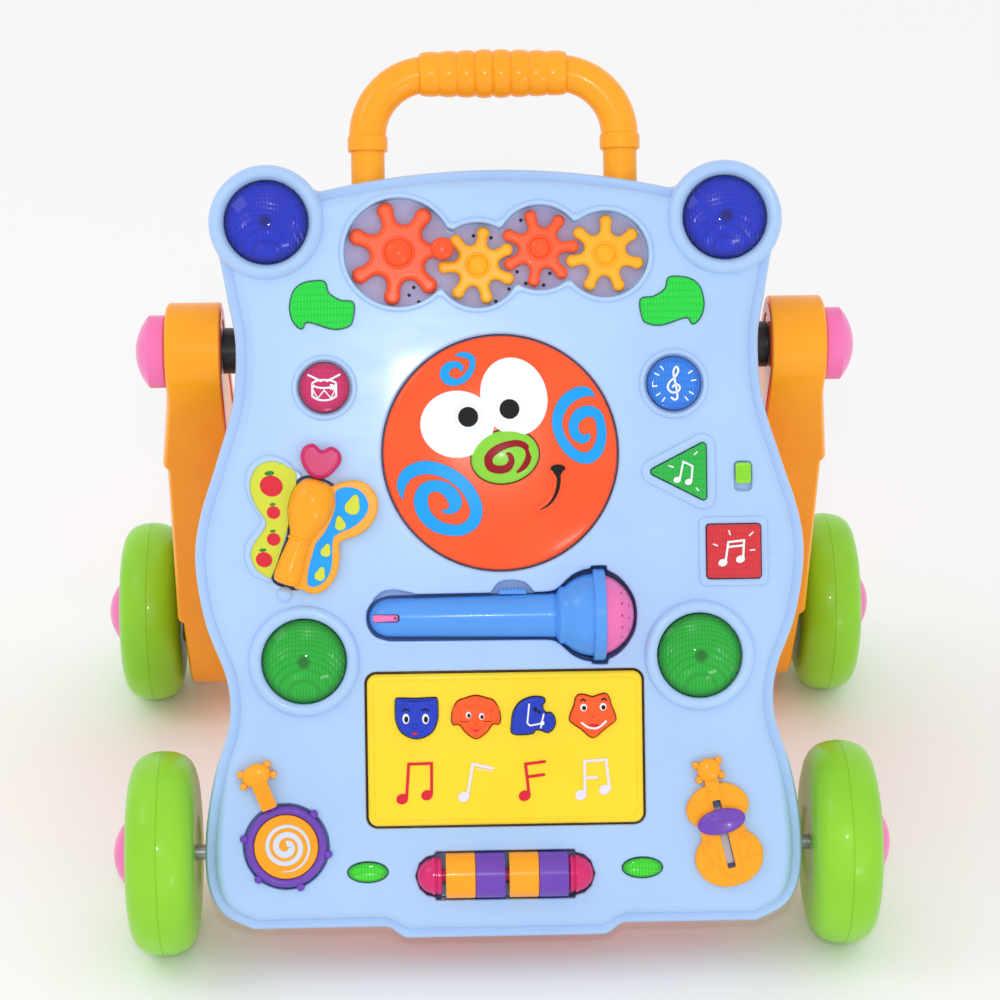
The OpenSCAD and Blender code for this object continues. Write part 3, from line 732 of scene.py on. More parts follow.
# Darker pink for the grille and clip holes: painted shade inside holes that are not cut.
GRILLE_HOLE_SHADE = MouldedAbs("grille_hole", "A83A78", "962E68")
STICKER_LIME = Print("lime_vinyl", "D3DC3C", "CCD434")
STICKER_BLUE = Print("blue_vinyl", "0AA0FF", "0896F4")
INK_LEAF = Print("leaf_ink", "1E8A1E", "187818")
LENS_BLUE = PrismLens("blue_lens", "0628CC", "020C7A", 0)
LENS_GREEN = PrismLens("green_lens", "0CB42C", "04701A", 0)
LENS_LEAF = PrismLens("leaf_lens", "10E040", "07A82C", 0)
KEY_MAGENTA = PrismLens("magenta_key", "D4286E", "A41450", 0)
KEY_BLUE = PrismLens("blue_key", "2A86F0", "1660C8", 0)
KEY_GREEN = PrismLens("green_key", "1CBC44", "0C8C2C", 0)
KEY_RED = PrismLens("red_key", "DE2A34", "A81420", 0)
KEY_OVAL = PrismLens("oval_key", "3CE024", "109C1C", 0)


class Side(Enum):
    """The two sides of the walker, by the sign of their X."""

    LEFT = -1
    RIGHT = 1


def both(shape: bmesh.types.BMesh) -> bmesh.types.BMesh:
    """The shape and its mirror image together."""
    return merged(shape, mirrored(shape))


def along_x(profile: Outline, closed: bool = False, steps: int = 64) -> bmesh.types.BMesh:
    """A shape turned on the X axis from (radius, x) points."""
    return tipped(turned(profile, closed, steps), 90, "Y")


def disc(radius: float, low: float, high: float, soft: float = 0.6, steps: int = 64) -> bmesh.types.BMesh:
    """A round button blank with a soft top edge."""
    return pillow(circle(radius, steps=steps), low, high, soft)


def torus(radius: float, bead_radius: float, height: float = 0, flat: float = 1) -> bmesh.types.BMesh:
    """A ring of round section; flat squashes the section's height."""
    return turned(
        [(radius + x, height + y * flat) for x, y in circle(bead_radius, steps=24)], closed=True, steps=96
    )


def draped(
    shape: bmesh.types.BMesh, centre: Point, surface: Callable[[float], float], step: float = 5
) -> bmesh.types.BMesh:
    """The shape cut into small cells and laid over a curved surface.

    Args:
        shape: a shape drawn flat, around the origin.
        centre: where its origin lies on the surface's own plan.
        surface: the surface's height at a distance from its middle.
        step: size of the cells.
    """
    corners = [v.co.copy() for v in shape.verts]
    for axis in range(2):
        low, high = min(c[axis] for c in corners), max(c[axis] for c in corners)
        normal = Vector((axis == 0, axis == 1, 0))
        for i in range(1, math.ceil((high - low) / step)):
            geometry = shape.verts[:] + shape.edges[:] + shape.faces[:]
            bmesh.ops.bisect_plane(
                shape, geom=geometry, plane_co=normal * (low + i * step), plane_no=normal
            )
    for vert in shape.verts:
        vert.co.x += centre[0]
        vert.co.y += centre[1]
        vert.co.z += surface(math.hypot(vert.co.x, vert.co.y))
    return shape


# ---------------------------------------------------------------- the console

EAR: Point = (119.5, 146)
ROUND_LENS: Point = (103, -82.4)
LEAF_LENS: Point = (91.3, 102.4)
GEARS: list[Point] = [(-51, 129.6), (-9.9, 122.5), (22.6, 131.3), (56.8, 127.5)]
FACE: Point = (0.5, 24.6)
KEYS: Point = (0.9, -129.3)
DRUM: Point = (-90.5, 59.7)
CLEF: Point = (91.5, 59.5)
SQUARE: Point = (121.5, -28.4)
SWITCH: Point = (127.1, 10.7)
BANJO: Point = (-113.7, -178.5)
VIOLIN: Point = (114.2, -175.7)
TRIANGLE: Outline = [(80.5, 13.6), (106, 0.4), (106, 26.6)]
HINGE: Point = (-93.6, 11.4)
HINGE_TURN = -19.0
VIOLIN_TURN = 12.7
MIC_V, MIC_Z = -60.6, -4.0
ROLLER_V, ROLLER_Z = -195.2, -1.0
SIDE: Outline = [
    (132, -222.6), (148, -214), (155.5, -198), (156, -172), (151, -142), (143, -115), (144, -92),
    (154.5, -63),
    (159.5, -32), (157, -8), (148, 21), (139, 52), (137, 83), (141, 108), (145, 130),
]  # fmt: skip
LEAF: Outline = flipped(smooth_loop([
    (-5, 12.5), (-10.4, 11.1), (-14.6, 7), (-16.4, -1.4), (-14.6, -8.3), (-10.6, -11.8), (-7.3, -8.3),
    (5, -12), (12.5, -11.3), (15.6, -8.3), (16.4, 1), (9.6, 2.4), (3.4, 6.5), (1.6, 12.2),
], 4))  # fmt: skip
MIC_RECESS: Outline = [
    (-70.4, 0), (-69.6, 4.6), (-66, 9.4), (-60, 11.6), (-54, 12), (-20, 12.2), (10, 12.3), (25, 12.6),
    (30, 14.6),
    (36.5, 20.4), (42, 23.2), (46.4, 24.2), (47.6, 25.4), (54.6, 25.5), (55.6, 23.2), (61, 20), (66, 14.6),
    (69.6, 7.6),
    (70.6, 0),
]  # fmt: skip
VIOLIN_BODY: Outline = smooth_loop([
    (0, 27), (-9, 25), (-15.6, 18.5), (-16.2, 11.5), (-13.6, 7.8), (-11.6, 3), (-12.6, -1.6), (-15.6, -4.6),
    (-18, -12), (-15, -21), (-7.6, -26.4), (0, -27.6), (7.6, -26.4), (15, -21), (18, -12), (15.6, -4.6),
    (12.6, -1.6), (11.6, 3), (13.6, 7.8), (16.2, 11.5), (15.6, 18.5), (9, 25),
], 4)  # fmt: skip
LEFT_WING: Outline = smooth_loop([
    (-9, -1.5), (-13.5, 1.5), (-20, 4.5), (-28.5, 4.5), (-34.5, 0.5), (-37.5, -6.5), (-36, -14), (-32.5, -20),
    (-27, -25), (-22.5, -29), (-22.5, -31.5), (-24.5, -37.5), (-26, -43), (-25, -49), (-22, -54),
    (-17.5, -57.5),
    (-12.5, -58), (-7.5, -57), (-6, -40), (-6, -20),
], 4)  # fmt: skip
LEFT_PICTURE: Outline = smooth_loop([
    (-12, -1.5), (-18, 2), (-23.5, 2.6), (-28, 1.6), (-32.5, -2), (-34.5, -8), (-33.5, -15), (-29.5, -21),
    (-24.5, -25.5), (-20, -29), (-20, -34), (-22, -40), (-22.6, -46.5), (-20, -51.5), (-16.5, -54.5),
    (-12, -56),
    (-8, -55.5), (-7.4, -40), (-8.6, -20),
], 4)  # fmt: skip


def console_outline(inset: float = 0) -> Outline:
    """The outline of the front panel, moved inwards: a tab at its foot, wavy sides and two round ears."""
    span = 12 + inset * 0.6
    tab = [(x, -228.6 + inset) for x in (0, 15, 30)]
    for i in range(13):
        tab.append((57 + span * (i / 12 - 0.5), -228.6 + inset + 3 * (1 - math.cos(math.pi * i / 12))))
    side = smooth_path(SIDE, 6)
    side = [(x - inset * nx, y - inset * ny) for (x, y), (nx, ny) in zip(side, normals(side, closed=False))]
    ear = circle(30.2 - inset, EAR, 96, -28, 143)
    arc = circle(412 - inset, (0, 173.2 - 412), 720, 90 - 12.9, 90)
    right = tab + side[:-1] + ear + arc
    return right + [(-x, y) for x, y in reversed(right[1:-1])]


def in_hinge(outline: Outline) -> Outline:
    """An outline drawn beside the butterfly's hinge line, placed on the panel."""
    return placed(outline, HINGE, HINGE_TURN)


@dataclass
class Console:
    """The fixed body: the front shell with its trays, wells and rims, and everything behind it."""

    depth: float = 28.0
    plateau_edge: float = 5.6
    gear_trays: tuple = (28.4, 22.3, 22.3, 22.6)
    box_half: float = 134.0
    box_back: float = -64.0
    screws: tuple = ((147, -30), (141, -207), (138.6, 127))

    def blank(self) -> bmesh.types.BMesh:
        """The shell's flange and its raised plateau, hollow behind."""
        skirt = [(-0.6, -self.depth), (0, -27.4), (0, -10), (-0.4, -8.6), (-1.3, -7.5), (-2.8, -7.0)]
        shell = lofted(console_outline(), skirt)
        rise = [(0, -20), (0, -5.4), (-0.4, -3.4), (-1.5, -1.7), (-3.2, -0.5), (-5, 0)]
        plateau = lofted(console_outline(self.plateau_edge), rise)
        ear = [
            (0, -27.6), (29.8, -27.6), (30.2, -27.2), (30.2, -2.4), (29.9, 0), (29.2, 1.9), (28, 3.4),
            (26.4, 4.2),
            (24.8, 4.0), (23.4, 2.9), (22.4, 1.2), (21.6, -1), (0, -1),
        ]  # fmt: skip
        ears = [moved(turned(ear, steps=96), s * EAR[0], EAR[1]) for s in (-1, 1)]
        hollow = lofted(console_outline(8.4), [(0, -30), (0, -16)])
        return carved(carved(shell, extras=[plateau] + ears), [hollow])

    def rims(self) -> list[bmesh.types.BMesh]:
        """The raised rims, and the tray walls that reach into the hollow."""
        gears = scallops([(c, r + 2.6) for c, r in zip(GEARS, self.gear_trays)])
        rims = [lofted(gears, [(0, -12), (0, 0.5), (-0.3, 1.1), (-0.8, 1.5), (-1.3, 1.6)])]
        rims.append(
            moved(along_x([(0, -74), (14, -72), (14, 20), (28, 30), (28, 74), (0, 74)]), 0, MIC_V, MIC_Z)
        )
        cap = lofted(box_outline((80, 34), 4, (0, MIC_V)), [(0, -0.4), (0, 40)])
        rims[-1] = carved(rims[-1], [cap])
        rims += [moved(torus(25.3, 3.5), s * ROUND_LENS[0], ROUND_LENS[1]) for s in (-1, 1)]
        rims.append(moved(torus(15.5, 1.6), *DRUM))
        rims.append(moved(torus(16.6, 1.6), *CLEF))
        lip = [(0, -1), (0, 0.5), (-0.35, 1.1), (-1, 1.4)]
        rims.append(lofted(rounded(TRIANGLE, 6.6), lip))
        rims.append(lofted(box_outline((18, 18), 4, SQUARE), lip))
        rims.append(lofted(in_hinge(LEFT_WING), [(0, -1), (0, 0.7), (-0.3, 1.2), (-0.9, 1.5)]))
        return rims

    def wells(self) -> list[bmesh.types.BMesh]:
        """The tools that cut the trays, wells and slots."""
        upper = smooth_path(MIC_RECESS, 5)
        recess = upper[:-1] + [(x, -y) for x, y in reversed(upper)][:-1]
        recess = [(x, y + MIC_V) for x, y in reversed(recess)]
        ends = [
            (36, -12.6), (36.8, -11), (41, -9.9), (44.6, -6.6), (46.8, 0), (44.6, 6.6), (41, 9.9),
            (36.8, 11)
        ]
        roller = ends + [(36, 12.6)] + [
            (-x, y) for x, y in reversed(ends[1:] + [(36, 12.6)])
        ] + [(-36, -12.6)]
        flank = [
            (5.4, 0.9), (9.6, -1.4), (12.4, -7), (12.7, -14), (12, -20), (9.6, -26), (7.4, -31), (7.1, -36),
            (7.9, -44)
        ]
        flank += [(8.4, -50), (8.2, -55), (5.8, -58), (0, -58.6)]
        body = smooth_loop(
            [(-x, y) for x, y in flank[:-1]] + [(x, y) for x, y in reversed(flank)] + [(0, 1.4)], 3
        )
        tools = [moved(pocket(scallops(list(zip(GEARS, self.gear_trays))), -9.6, 0.9), 0, 0, 1.6)]
        tools.append(pocket(circle(61.9, FACE, 120), -6.5, 1.4))
        tools.append(moved(along_x([(max(r, 0), x) for x, r in upper]), 0, MIC_V, MIC_Z))
        tools.append(lofted(recess, [(-0.3, -6), (0, -4.2), (0, -1.4), (0.3, -0.5), (1.2, 0.02), (1.4, 9)]))
        scoop = smooth_loop([(-66, 8), (-48, 8), (-44, 11.4), (-50, 13.6), (-57, 14.6), (-63, 13)], 5)
        tools.append(moved(pocket(scoop, -7, 1.0), 0, MIC_V))
        notch = smooth_loop(
            [(-10, 8), (22, 8), (17, 12.6), (13, 17), (8, 18.6), (2, 18.6), (-2, 17), (-5.4, 12.6)], 5
        )
        tools.append(moved(pocket(notch, -7.5, 1.0), 0, MIC_V))
        tools.append(pocket(box_outline((72.8, 40.7), 6, KEYS), -4.6, 0.8, 0.5))
        tools.append(moved(pocket(roller, -13.4, 0.9), 0, ROLLER_V))
        tools.append(pocket(circle(22.3, BANJO, 96), -5, 0.9))
        tools.append(pocket(in_hinge(body), -11, 0.5))
        tools += [pocket(circle(22, (s * EAR[0], EAR[1]), 96), -4.5, 0.2) for s in (-1, 1)]
        tools += [pocket(circle(22.1, (s * ROUND_LENS[0], ROUND_LENS[1]), 96), -4.5, 0.3) for s in (-1, 1)]
        leaves = [placed(LEAF, LEAF_LENS), placed(flipped(LEAF), (-LEAF_LENS[0], LEAF_LENS[1]))]
        tools += [pocket(grown(leaf, 0.5), -3.5, 0.5, 0.3) for leaf in leaves]
        tools.append(moved(pocket(circle(13.6, DRUM), -5.8, 0.3, 0.3), 0, 0, 0.8))
        tools.append(moved(pocket(circle(14.6, CLEF), -5.8, 0.3, 0.3), 0, 0, 0.8))
        tools.append(moved(pocket(rounded(TRIANGLE, 2.1), -6.4, 0.4, 0.3), 0, 0, 1.4))
        tools.append(moved(pocket(box_outline((14.5, 14.5), 2, SQUARE), -6.4, 0.4, 0.3), 0, 0, 1.4))
        tools.append(pocket(box_outline((4.6, 7.8), 2.4, SWITCH), -3, 0.6, 0.3))
        tools += [pocket(ellipse((10.8, 5.6), (s * 71.5, -192.6)), -4.4, 0.5, 0.3) for s in (-1, 1)]
        tools.append(lofted(in_hinge(LEFT_PICTURE), [(0, 0.5), (0, 9)]))
        tools.append(pocket(placed(box_outline((2.3, 19), 0.8), VIOLIN, VIOLIN_TURN), -8, 0.2, 0.2))
        return tools

    def build(self) -> None:
        """Makes the fixed shells and what they hold."""
        panel = carved(self.blank(), self.wells(), self.rims())
        show("front_shell", panel, BLUE_PANEL, "console", "panel_blue", "front_panel", sharp=32)
        # A thin lavender floor in the gear tray carries the recess's painted shade and the gears' painted
        # reflection.
        floor = scallops([(c, r - 0.9) for c, r in zip(GEARS, self.gear_trays)])
        show(
            "gear_tray_floor", lofted(floor, [(0, -8.2), (0, -7.9)]), TRAY_SHADE_TINT, "console", "panel_blue",
            "front_panel"
        )
        # Dark discs on the tray floor at the speaker holes stand for the painted shade inside holes that are
        # not cut.
        holes = [
            (-43.3, 111.8), (-45.8, 107.8), (-40.8, 104.2), (-11.7, 138.4), (-2.5, 137.3), (6.5, 110.4),
            (-0.5, 104),
            (13.2, 146.3), (10.9, 119.3), (15.3, 113.2), (28, 118.3), (24.7, 112.2),
        ]  # fmt: skip
        dots = [moved(disc(0.95, -8, -7.7, 0.1, 16), *hole) for hole in holes]
        show("gear_tray_holes", merged(*dots), DARK, "console", "speaker_black", "front_panel")
        self.build_back()

    def build_back(self) -> None:
        """Makes the rear housing, its door, screws and what the box holds."""
        outline = console_outline(0.2)
        plate = lofted(outline, [(-0.6, -30.5), (0, -29.9), (0, -28.3), (-0.3, -28.05)])
        back = self.box_back
        box = box_outline((self.box_half, 184), 12, (0, -19))
        body = lofted(box, [(-5, back), (-2.4, back + 0.7), (-0.7, back + 2.4), (0, back + 5), (0, -28.1)])
        ribs = [
            pillow(
                box_outline((1.3, 52), 1.2, (s * x, 92)), back - 1.2, back + 2, 0.6
            ) for x in (96, 108, 120) for s in (-1, 1)
        ]
        inside = lofted(grown(box, -2.5), [(0, back + 2.5), (0, -20)])
        door = lofted(box_outline((34, 32), 4, (0, -122)), [(0, back - 4), (0, back + 1.2)])
        tools = [inside, door]
        tools += [
            lofted(circle(1.5, (7 * i, 20 + 7 * j), 20), [(0, back - 4), (0, back + 5)])
            for i in range(-3, 4)
            for j in range(-3, 4)
            if i * i + j * j < 12
        ]
        tools += [
            moved(along_x([(0, -150), (r, -150), (r, 150), (0, 150)]), 0, y, z) for r, y,
            z in ((12.8, 82, -46), (4.3, -185, -36))
        ]
        housing = carved(body, tools, [plate] + ribs)
        show(
            "rear_housing_shell", housing, ORANGE_RED, "console", "housing_orange", "rear_housing", sharp=32
        )
        hatch = lofted(
            box_outline((33.6, 31.6), 3.8, (0, -122)),
            [(-0.6, back - 0.4), (0, back + 0.2), (0, back + 1.1)]
        )
        grips = [
            lofted(
                box_outline((20, 0.6), 0.5, (0, -122 + 3 * i)),
                [(-0.2, back - 1.4), (0, back - 1), (0, back)]
            ) for i in range(-4, 5)
        ]
        show(
            "battery_hatch", merged(hatch, *grips), ORANGE_RED, "console", "housing_orange", "battery_door"
        )
        head = [
            (0, -1.1), (0.7, -1.1), (0.9, -1.6), (2.4, -1.7), (3.1, -1.2), (3.4, -0.4), (3.4, 0), (0, 0)
        ]
        spots = [(s * x, y, -30.5) for x, y in self.screws for s in (-1, 1)] + [(0, -96, back - 0.5)]
        heads = [moved(turned(head, steps=32), *spot) for spot in spots]
        show("screw_heads", merged(*heads), STEEL, "console", "steel", "housing_screws")
        board = merged(
            lofted(box_outline((121, 55), 2, (9, 25)), [(0, -22), (0, -20.4)]),
            lofted(box_outline((62, 21), 2, (1, -120)), [(0, -22), (0, -20.4)]),
        )
        show("printed_board", board, BOARD, "console", "board", "circuit_board")
        cone = turned([(0, -61.3), (27.8, -61.3), (27.8, -58), (14, -57), (14, -47), (0, -47)])
        show("loudspeaker", moved(cone, 0, 20), DARK, "console", "speaker_black", "speaker")
        cell = [(0, 0), (6.8, 0), (7.1, 0.4), (7.1, 48.6), (6.8, 49), (2.6, 49), (2.6, 50), (0, 50)]
        cells = [moved(tipped(turned(cell), -90, "X"), x, -149, back + 11) for x in (-17, 0, 17)]
        show("cells", merged(*cells), CELL, "console", "cell_grey", "battery_cells")
        rod = [(0, -196), (3.6, -196), (4, -195.6), (4, 195.6), (3.6, 196), (0, 196)]
        show("front_axle_rod", moved(along_x(rod), 0, -185, -36), STEEL, "console", "steel", "front_axle")


@dataclass
class Handle:
    """The push handle: two posts and a bow with finger ribs."""

    reach: float = 66.6
    height: float = -22.0
    tube: float = 9.8
    corner: float = 33.0
    top: float = 225.4
    grip_half: float = 39.0

    def build(self) -> None:
        """Makes the posts and the bow."""
        post = [(0, 152), (8.7, 152), (8.9, 152.4), (8.9, 188), (0, 188)]
        posts = [moved(tipped(turned(post), -90, "X"), s * self.reach, 0, self.height) for s in (-1, 1)]
        show("posts", merged(*posts), AMBER, "console", "yellow_orange", "handle_posts")
        arc = circle(self.corner, (self.reach - self.corner, self.top - self.corner), 64, 0, 90)
        path = [(self.reach, 187), (self.reach, 190)] + arc + [(self.grip_half - 6, self.top)]
        path += [(-x, y) for x, y in reversed(path)]
        line = [(x, y, self.height, 1.0) for x, y in path]
        line.insert(0, (self.reach, 186.9, self.height, 1.0))
        bow = bead(line, self.tube, sides=8)
        collar = [
            (0, 184.5), (9.9, 184.5), (10.4, 184.9), (10.6, 185.6), (10.6, 191.8), (10.3, 192.6),
            (9.7, 193), (0, 193)
        ]
        collars = [moved(tipped(turned(collar), -90, "X"), s * self.reach, 0, self.height) for s in (-1, 1)]
        ribs = [(0, -self.grip_half), (self.tube + 0.4, -self.grip_half)]
        for k in range(129):
            x = -38 + 76 * k / 128
            near = (x + 38) % 9.5 - 4.75
            crest = 13 - abs(x) / 28
            base = self.tube + 1.2
            ribs.append((base + (crest - base) * math.sqrt(max(0, 1 - (near / 4.9) ** 2)), x))
        ribs += [(self.tube + 0.4, self.grip_half), (0, self.grip_half)]
        grip = moved(along_x(ribs), 0, self.top, self.height)
        show("bow", merged(bow, grip, *collars), AMBER, "console", "yellow_orange", "handle_bow", sharp=50)


@dataclass
class Lenses:
    """The lit lenses: two blue domes in the ears, two green domes and two leaf shapes."""

    dome_rise: float = 7.0

    def dome(self, radius: float, places: list[Point]) -> bmesh.types.BMesh:
        """Domed lenses of one size; each vertex notes how far out it lies."""
        profile = [(0, -4), (radius, -4), (radius, 1.2)] + cap_profile(
            radius - 0.2, self.dome_rise, 1.4, 16
        )
        lens = turned(profile, steps=72)
        # The lens finish paints its light ring and edge shade from this reach.
        reach = lens.verts.layers.float.new("reach")
        for vert in lens.verts:
            vert[reach] = math.hypot(vert.co.x, vert.co.y) / radius
        return merged(*[moved(lens.copy(), *place) for place in places])

    def build(self) -> None:
        """Makes the six lenses."""
        ears = self.dome(21.5, [(s * EAR[0], EAR[1]) for s in (-1, 1)])
        show("ear_lenses", ears, LENS_BLUE, "console", "lens_blue", "corner_lenses")
        rounds = self.dome(21.7, [(s * ROUND_LENS[0], ROUND_LENS[1]) for s in (-1, 1)])
        show("green_lenses", rounds, LENS_GREEN, "console", "lens_green", "round_lenses")
        leaves = []
        for outline in (placed(LEAF, LEAF_LENS), placed(flipped(LEAF), (-LEAF_LENS[0], LEAF_LENS[1]))):
            leaf = pillow(outline, -3, 1.8, 1.2)
            reach = leaf.verts.layers.float.new("reach")
            for vert in leaf.verts:
                vert[reach] = 0.5
            leaves.append(leaf)
        show("leaf_shapes", merged(*leaves), LENS_LEAF, "console", "leaf_green", "leaf_lenses")


# ---------------------------------------------------------------- legs and wheels


@dataclass
class LegFrame:
    """The rear legs on the pivot tube, with their inner covers, knobs and axles."""

    hub: float = 26.0
    foot: float = 44.0
    inner: float = 146.4
    stations: tuple = (
        (0, 175.8), (0.05, 175.9), (0.25, 182.4), (0.262, 180.2), (0.5, 182.4), (0.8, 185.4),
        (0.812, 182.4), (1, 182.4)
    )

    def outline(self, inset: float = 0) -> Outline:
        """A leg's side view, in the walker's Y and Z."""
        pivot, axle = self.ends()
        reach = math.dist(pivot, axle)
        lean = math.degrees(math.atan2(axle[1] - pivot[1], axle[0] - pivot[0]))
        flare = math.degrees(math.asin((self.foot - self.hub) / reach))
        hub = circle(self.hub - inset, (0, 0), 72, 90 + flare, 270 - flare)
        foot = circle(self.foot - inset, (reach, 0), 96, -90 - flare, 90 + flare)
        return placed(hub + foot, pivot, lean)

    @staticmethod
    def ends() -> tuple[Point, Point]:
        """The pivot and the rear axle, in Y and Z."""
        pivot = JOINTS["leg_fold"]["pos_m"]
        axle = JOINTS["rear_right_roll"]["pos_m"]
        return (pivot[1] / MM, pivot[2] / MM), (axle[1] / MM, axle[2] / MM)

    def side_on(self, shape: bmesh.types.BMesh) -> bmesh.types.BMesh:
        """Turns a shape drawn in (Y, Z, X) to the walker's axes."""
        shape.transform(Matrix(((0, 0, 1, 0), (1, 0, 0, 0), (0, 1, 0, 0), (0, 0, 0, 1))))
        return shape

    def shell(self) -> bmesh.types.BMesh:
        """The right leg: it flares outwards down its length, with two small steps in its side."""
        pivot, axle = self.ends()
        down = (Vector(axle) - Vector(pivot)).normalized()
        reach = math.dist(pivot, axle)
        edge = [(-0.6, self.inner), (0, 147), (0, 0), (-0.5, 1), (-1.7, 1.9), (-3.6, 2.4)]
        leg = lofted(self.outline(), [(o, z if z > 100 else 300 + z) for o, z in edge])
        for share, _ in self.stations:
            geometry = leg.verts[:] + leg.edges[:] + leg.faces[:]
            at = Vector(pivot) + down * (reach * share)
            bmesh.ops.bisect_plane(leg, geom=geometry, plane_co=(*at, 0), plane_no=(*down, 0))
        for vert in leg.verts:
            if vert.co.z > 200:
                share = (vert.co.xy - Vector(pivot)).dot(down) / reach
                vert.co.z += self.width_at(share) - 302.4
        well = lofted(circle(self.hub + 1.2, pivot, 96), [(0, 175.6), (0, 300)])
        bore = lofted(circle(4.4, axle, 32), [(0, 150), (0, 300)])
        return self.side_on(carved(leg, [well, bore]))

    def width_at(self, share: float) -> float:
        """How far out the leg's side lies at a share of its length."""
        if share <= 0:
            return self.stations[0][1]
        for (low, a), (high, b) in zip(self.stations, self.stations[1:]):
            if share <= high:
                return a + (b - a) * (share - low) / (high - low)
        return self.stations[-1][1]

    def build(self) -> None:
        """Makes the folding frame."""
        pivot, axle = self.ends()
        right = self.shell()
        left = mirrored(right)
        show(
            "right_leg_shell", right, AMBER, "leg_frame", "yellow_orange", "right_leg", space=WALKER,
            sharp=40
        )
        show(
            "left_leg_shell", left, AMBER, "leg_frame", "yellow_orange", "left_leg", space=WALKER, sharp=40
        )
        cover = lofted(self.outline(2.8), [(-0.5, 145.8), (0, 146.3), (0, 148.2)])
        tray = lofted(self.outline(9), [(0, 145), (0, 146.9), ])
        cover = self.side_on(carved(cover, [tray]))
        show(
            "leg_covers", both(cover), ORANGE_RED, "leg_frame", "housing_orange", "leg_inner_covers",
            space=WALKER
        )
        knob = [(0, 150), (6, 150), (6, 176.2), (18.8, 176.2), (19.5, 176.9), (19.5, 184.4)]
        knob += [(r, x) for r, x in cap_profile(19.4, 7.4, 185.1, 14)]
        knob = moved(along_x(knob), 0, *pivot)
        show("pivot_caps", both(knob), PINK, "leg_frame", "pink", "pivot_knobs", space=WALKER)
        tube = [(9.8, -145.7), (12.3, -145.7), (12.3, 145.7), (9.8, 145.7)]
        tube = moved(along_x(tube, closed=True), 0, *pivot)
        show("cross_tube", tube, BLACK, "leg_frame", "black_tube", "pivot_tube", space=WALKER)
        rod = [(0, 148.6), (3.6, 148.6), (4, 149), (4, 220.6), (3.6, 221), (0, 221)]
        rod = moved(along_x(rod), 0, *axle)
        show("rear_rods", both(rod), STEEL, "leg_frame", "steel", "rear_axles", space=WALKER)


@dataclass
class Wheel:
    """One wheel: two moulded halves with a seam round the tread, and a domed cap."""

    name: str
    side: Side
    radius: float = 54.0
    half_width: float = 18.0
    cap_radius: float = 17.8

    def build(self) -> None:
        """Makes the wheel and its cap."""
        joint = JOINTS[self.name.replace("wheel", "roll")]["pos_m"]
        x, y, z = (value / MM for value in joint)
        side = self.side.value
        x = side * (205.0 if "rear" in self.name else 180.0)
        r, w = self.radius, self.half_width
        face = [
            (4.3, w - 1.4), (
                self.cap_radius - 0.6, w - 1.4
            ), (self.cap_radius + 0.6, w - 1), (self.cap_radius + 2.4, w),
            (r - 19, w), (r - 13, w - 0.7), (r - 8.4, w - 2), (r - 5, w - 4), (r - 2.6, w - 6.8),
            (r - 1.1, w - 10.4),
            (r - 0.3, w - 14), (r, w - 17.4), (r, 0.5), (r - 0.35, 0.18),
        ]  # fmt: skip
        profile = face + [(q, -h) for q, h in reversed(face)]
        wheel = moved(along_x(profile, closed=True, steps=120), x, y, z)
        show(self.name, wheel, LIME, self.name + "_set", "wheel_lime", self.name, space=WALKER, sharp=30)
        cap = [(0, w - 0.9), (self.cap_radius, w - 0.9), (self.cap_radius, w + 1.6)]
        cap += cap_profile(self.cap_radius - 0.2, 6.9, w + 1.9, 14)
        if self.side is Side.LEFT:
            cap = [(q, -h) for q, h in cap]
        name = self.name.replace("wheel", "cap")
        show(name, moved(along_x(cap), x, y, z), PINK, self.name + "_set", "pink", name, space=WALKER)


# ---------------------------------------------------------------- the toys


def marked(shape: bmesh.types.BMesh, size: Point, low: float = 0.3) -> bmesh.types.BMesh:
    """Notes at each vertex how far out it lies, from low in the middle to 1 at the edge."""
    # The lens finish paints shade towards the edge from this reach.
    reach = shape.verts.layers.float.new("reach")
    for vert in shape.verts:
        vert[reach] = low + (1 - low) * min(1, math.hypot(vert.co.x / size[0], vert.co.y / size[1]))
    return shape


def stroke(path: Outline, width: float, low: float, high: float) -> bmesh.types.BMesh:
    """A flat-topped raised line of even width with softened ends."""
    first, second, last, prior = path[0], path[1], path[-1], path[-2]
    start, end = math.dist(first, second) or 1, math.dist(last, prior) or 1
    head = tuple(a + (a - b) / start * width * 0.4 for a, b in zip(first, second))
    tail = tuple(a + (a - b) / end * width * 0.4 for a, b in zip(last, prior))
    spine = [(*head, width * 0.4), *[(*p, width) for p in path], (*tail, width * 0.4)]
    return lofted(ribbon(spine, 1), [(0, low), (0, high - 0.25), (-width * 0.16, high)])


def lines(paths: list[Outline], width: float, low: float, high: float) -> bmesh.types.BMesh:
    """Several strokes together, each a hair lower than the one before."""
    return merged(*[stroke(path, width, low, high - 0.04 * i) for i, path in enumerate(paths)])


def blobs(spots: list, low: float, high: float, soft: float = 0.4) -> bmesh.types.BMesh:
    """Several small round or oval studs, each given as x, y, half width, half height and turn."""
    return merged(
        *[
            pillow(ellipse((a, b), (x, y), turn, 28), low, high - 0.03 * i, soft)
            for i, (x, y, a, b, turn) in enumerate(spots)
        ]
    )


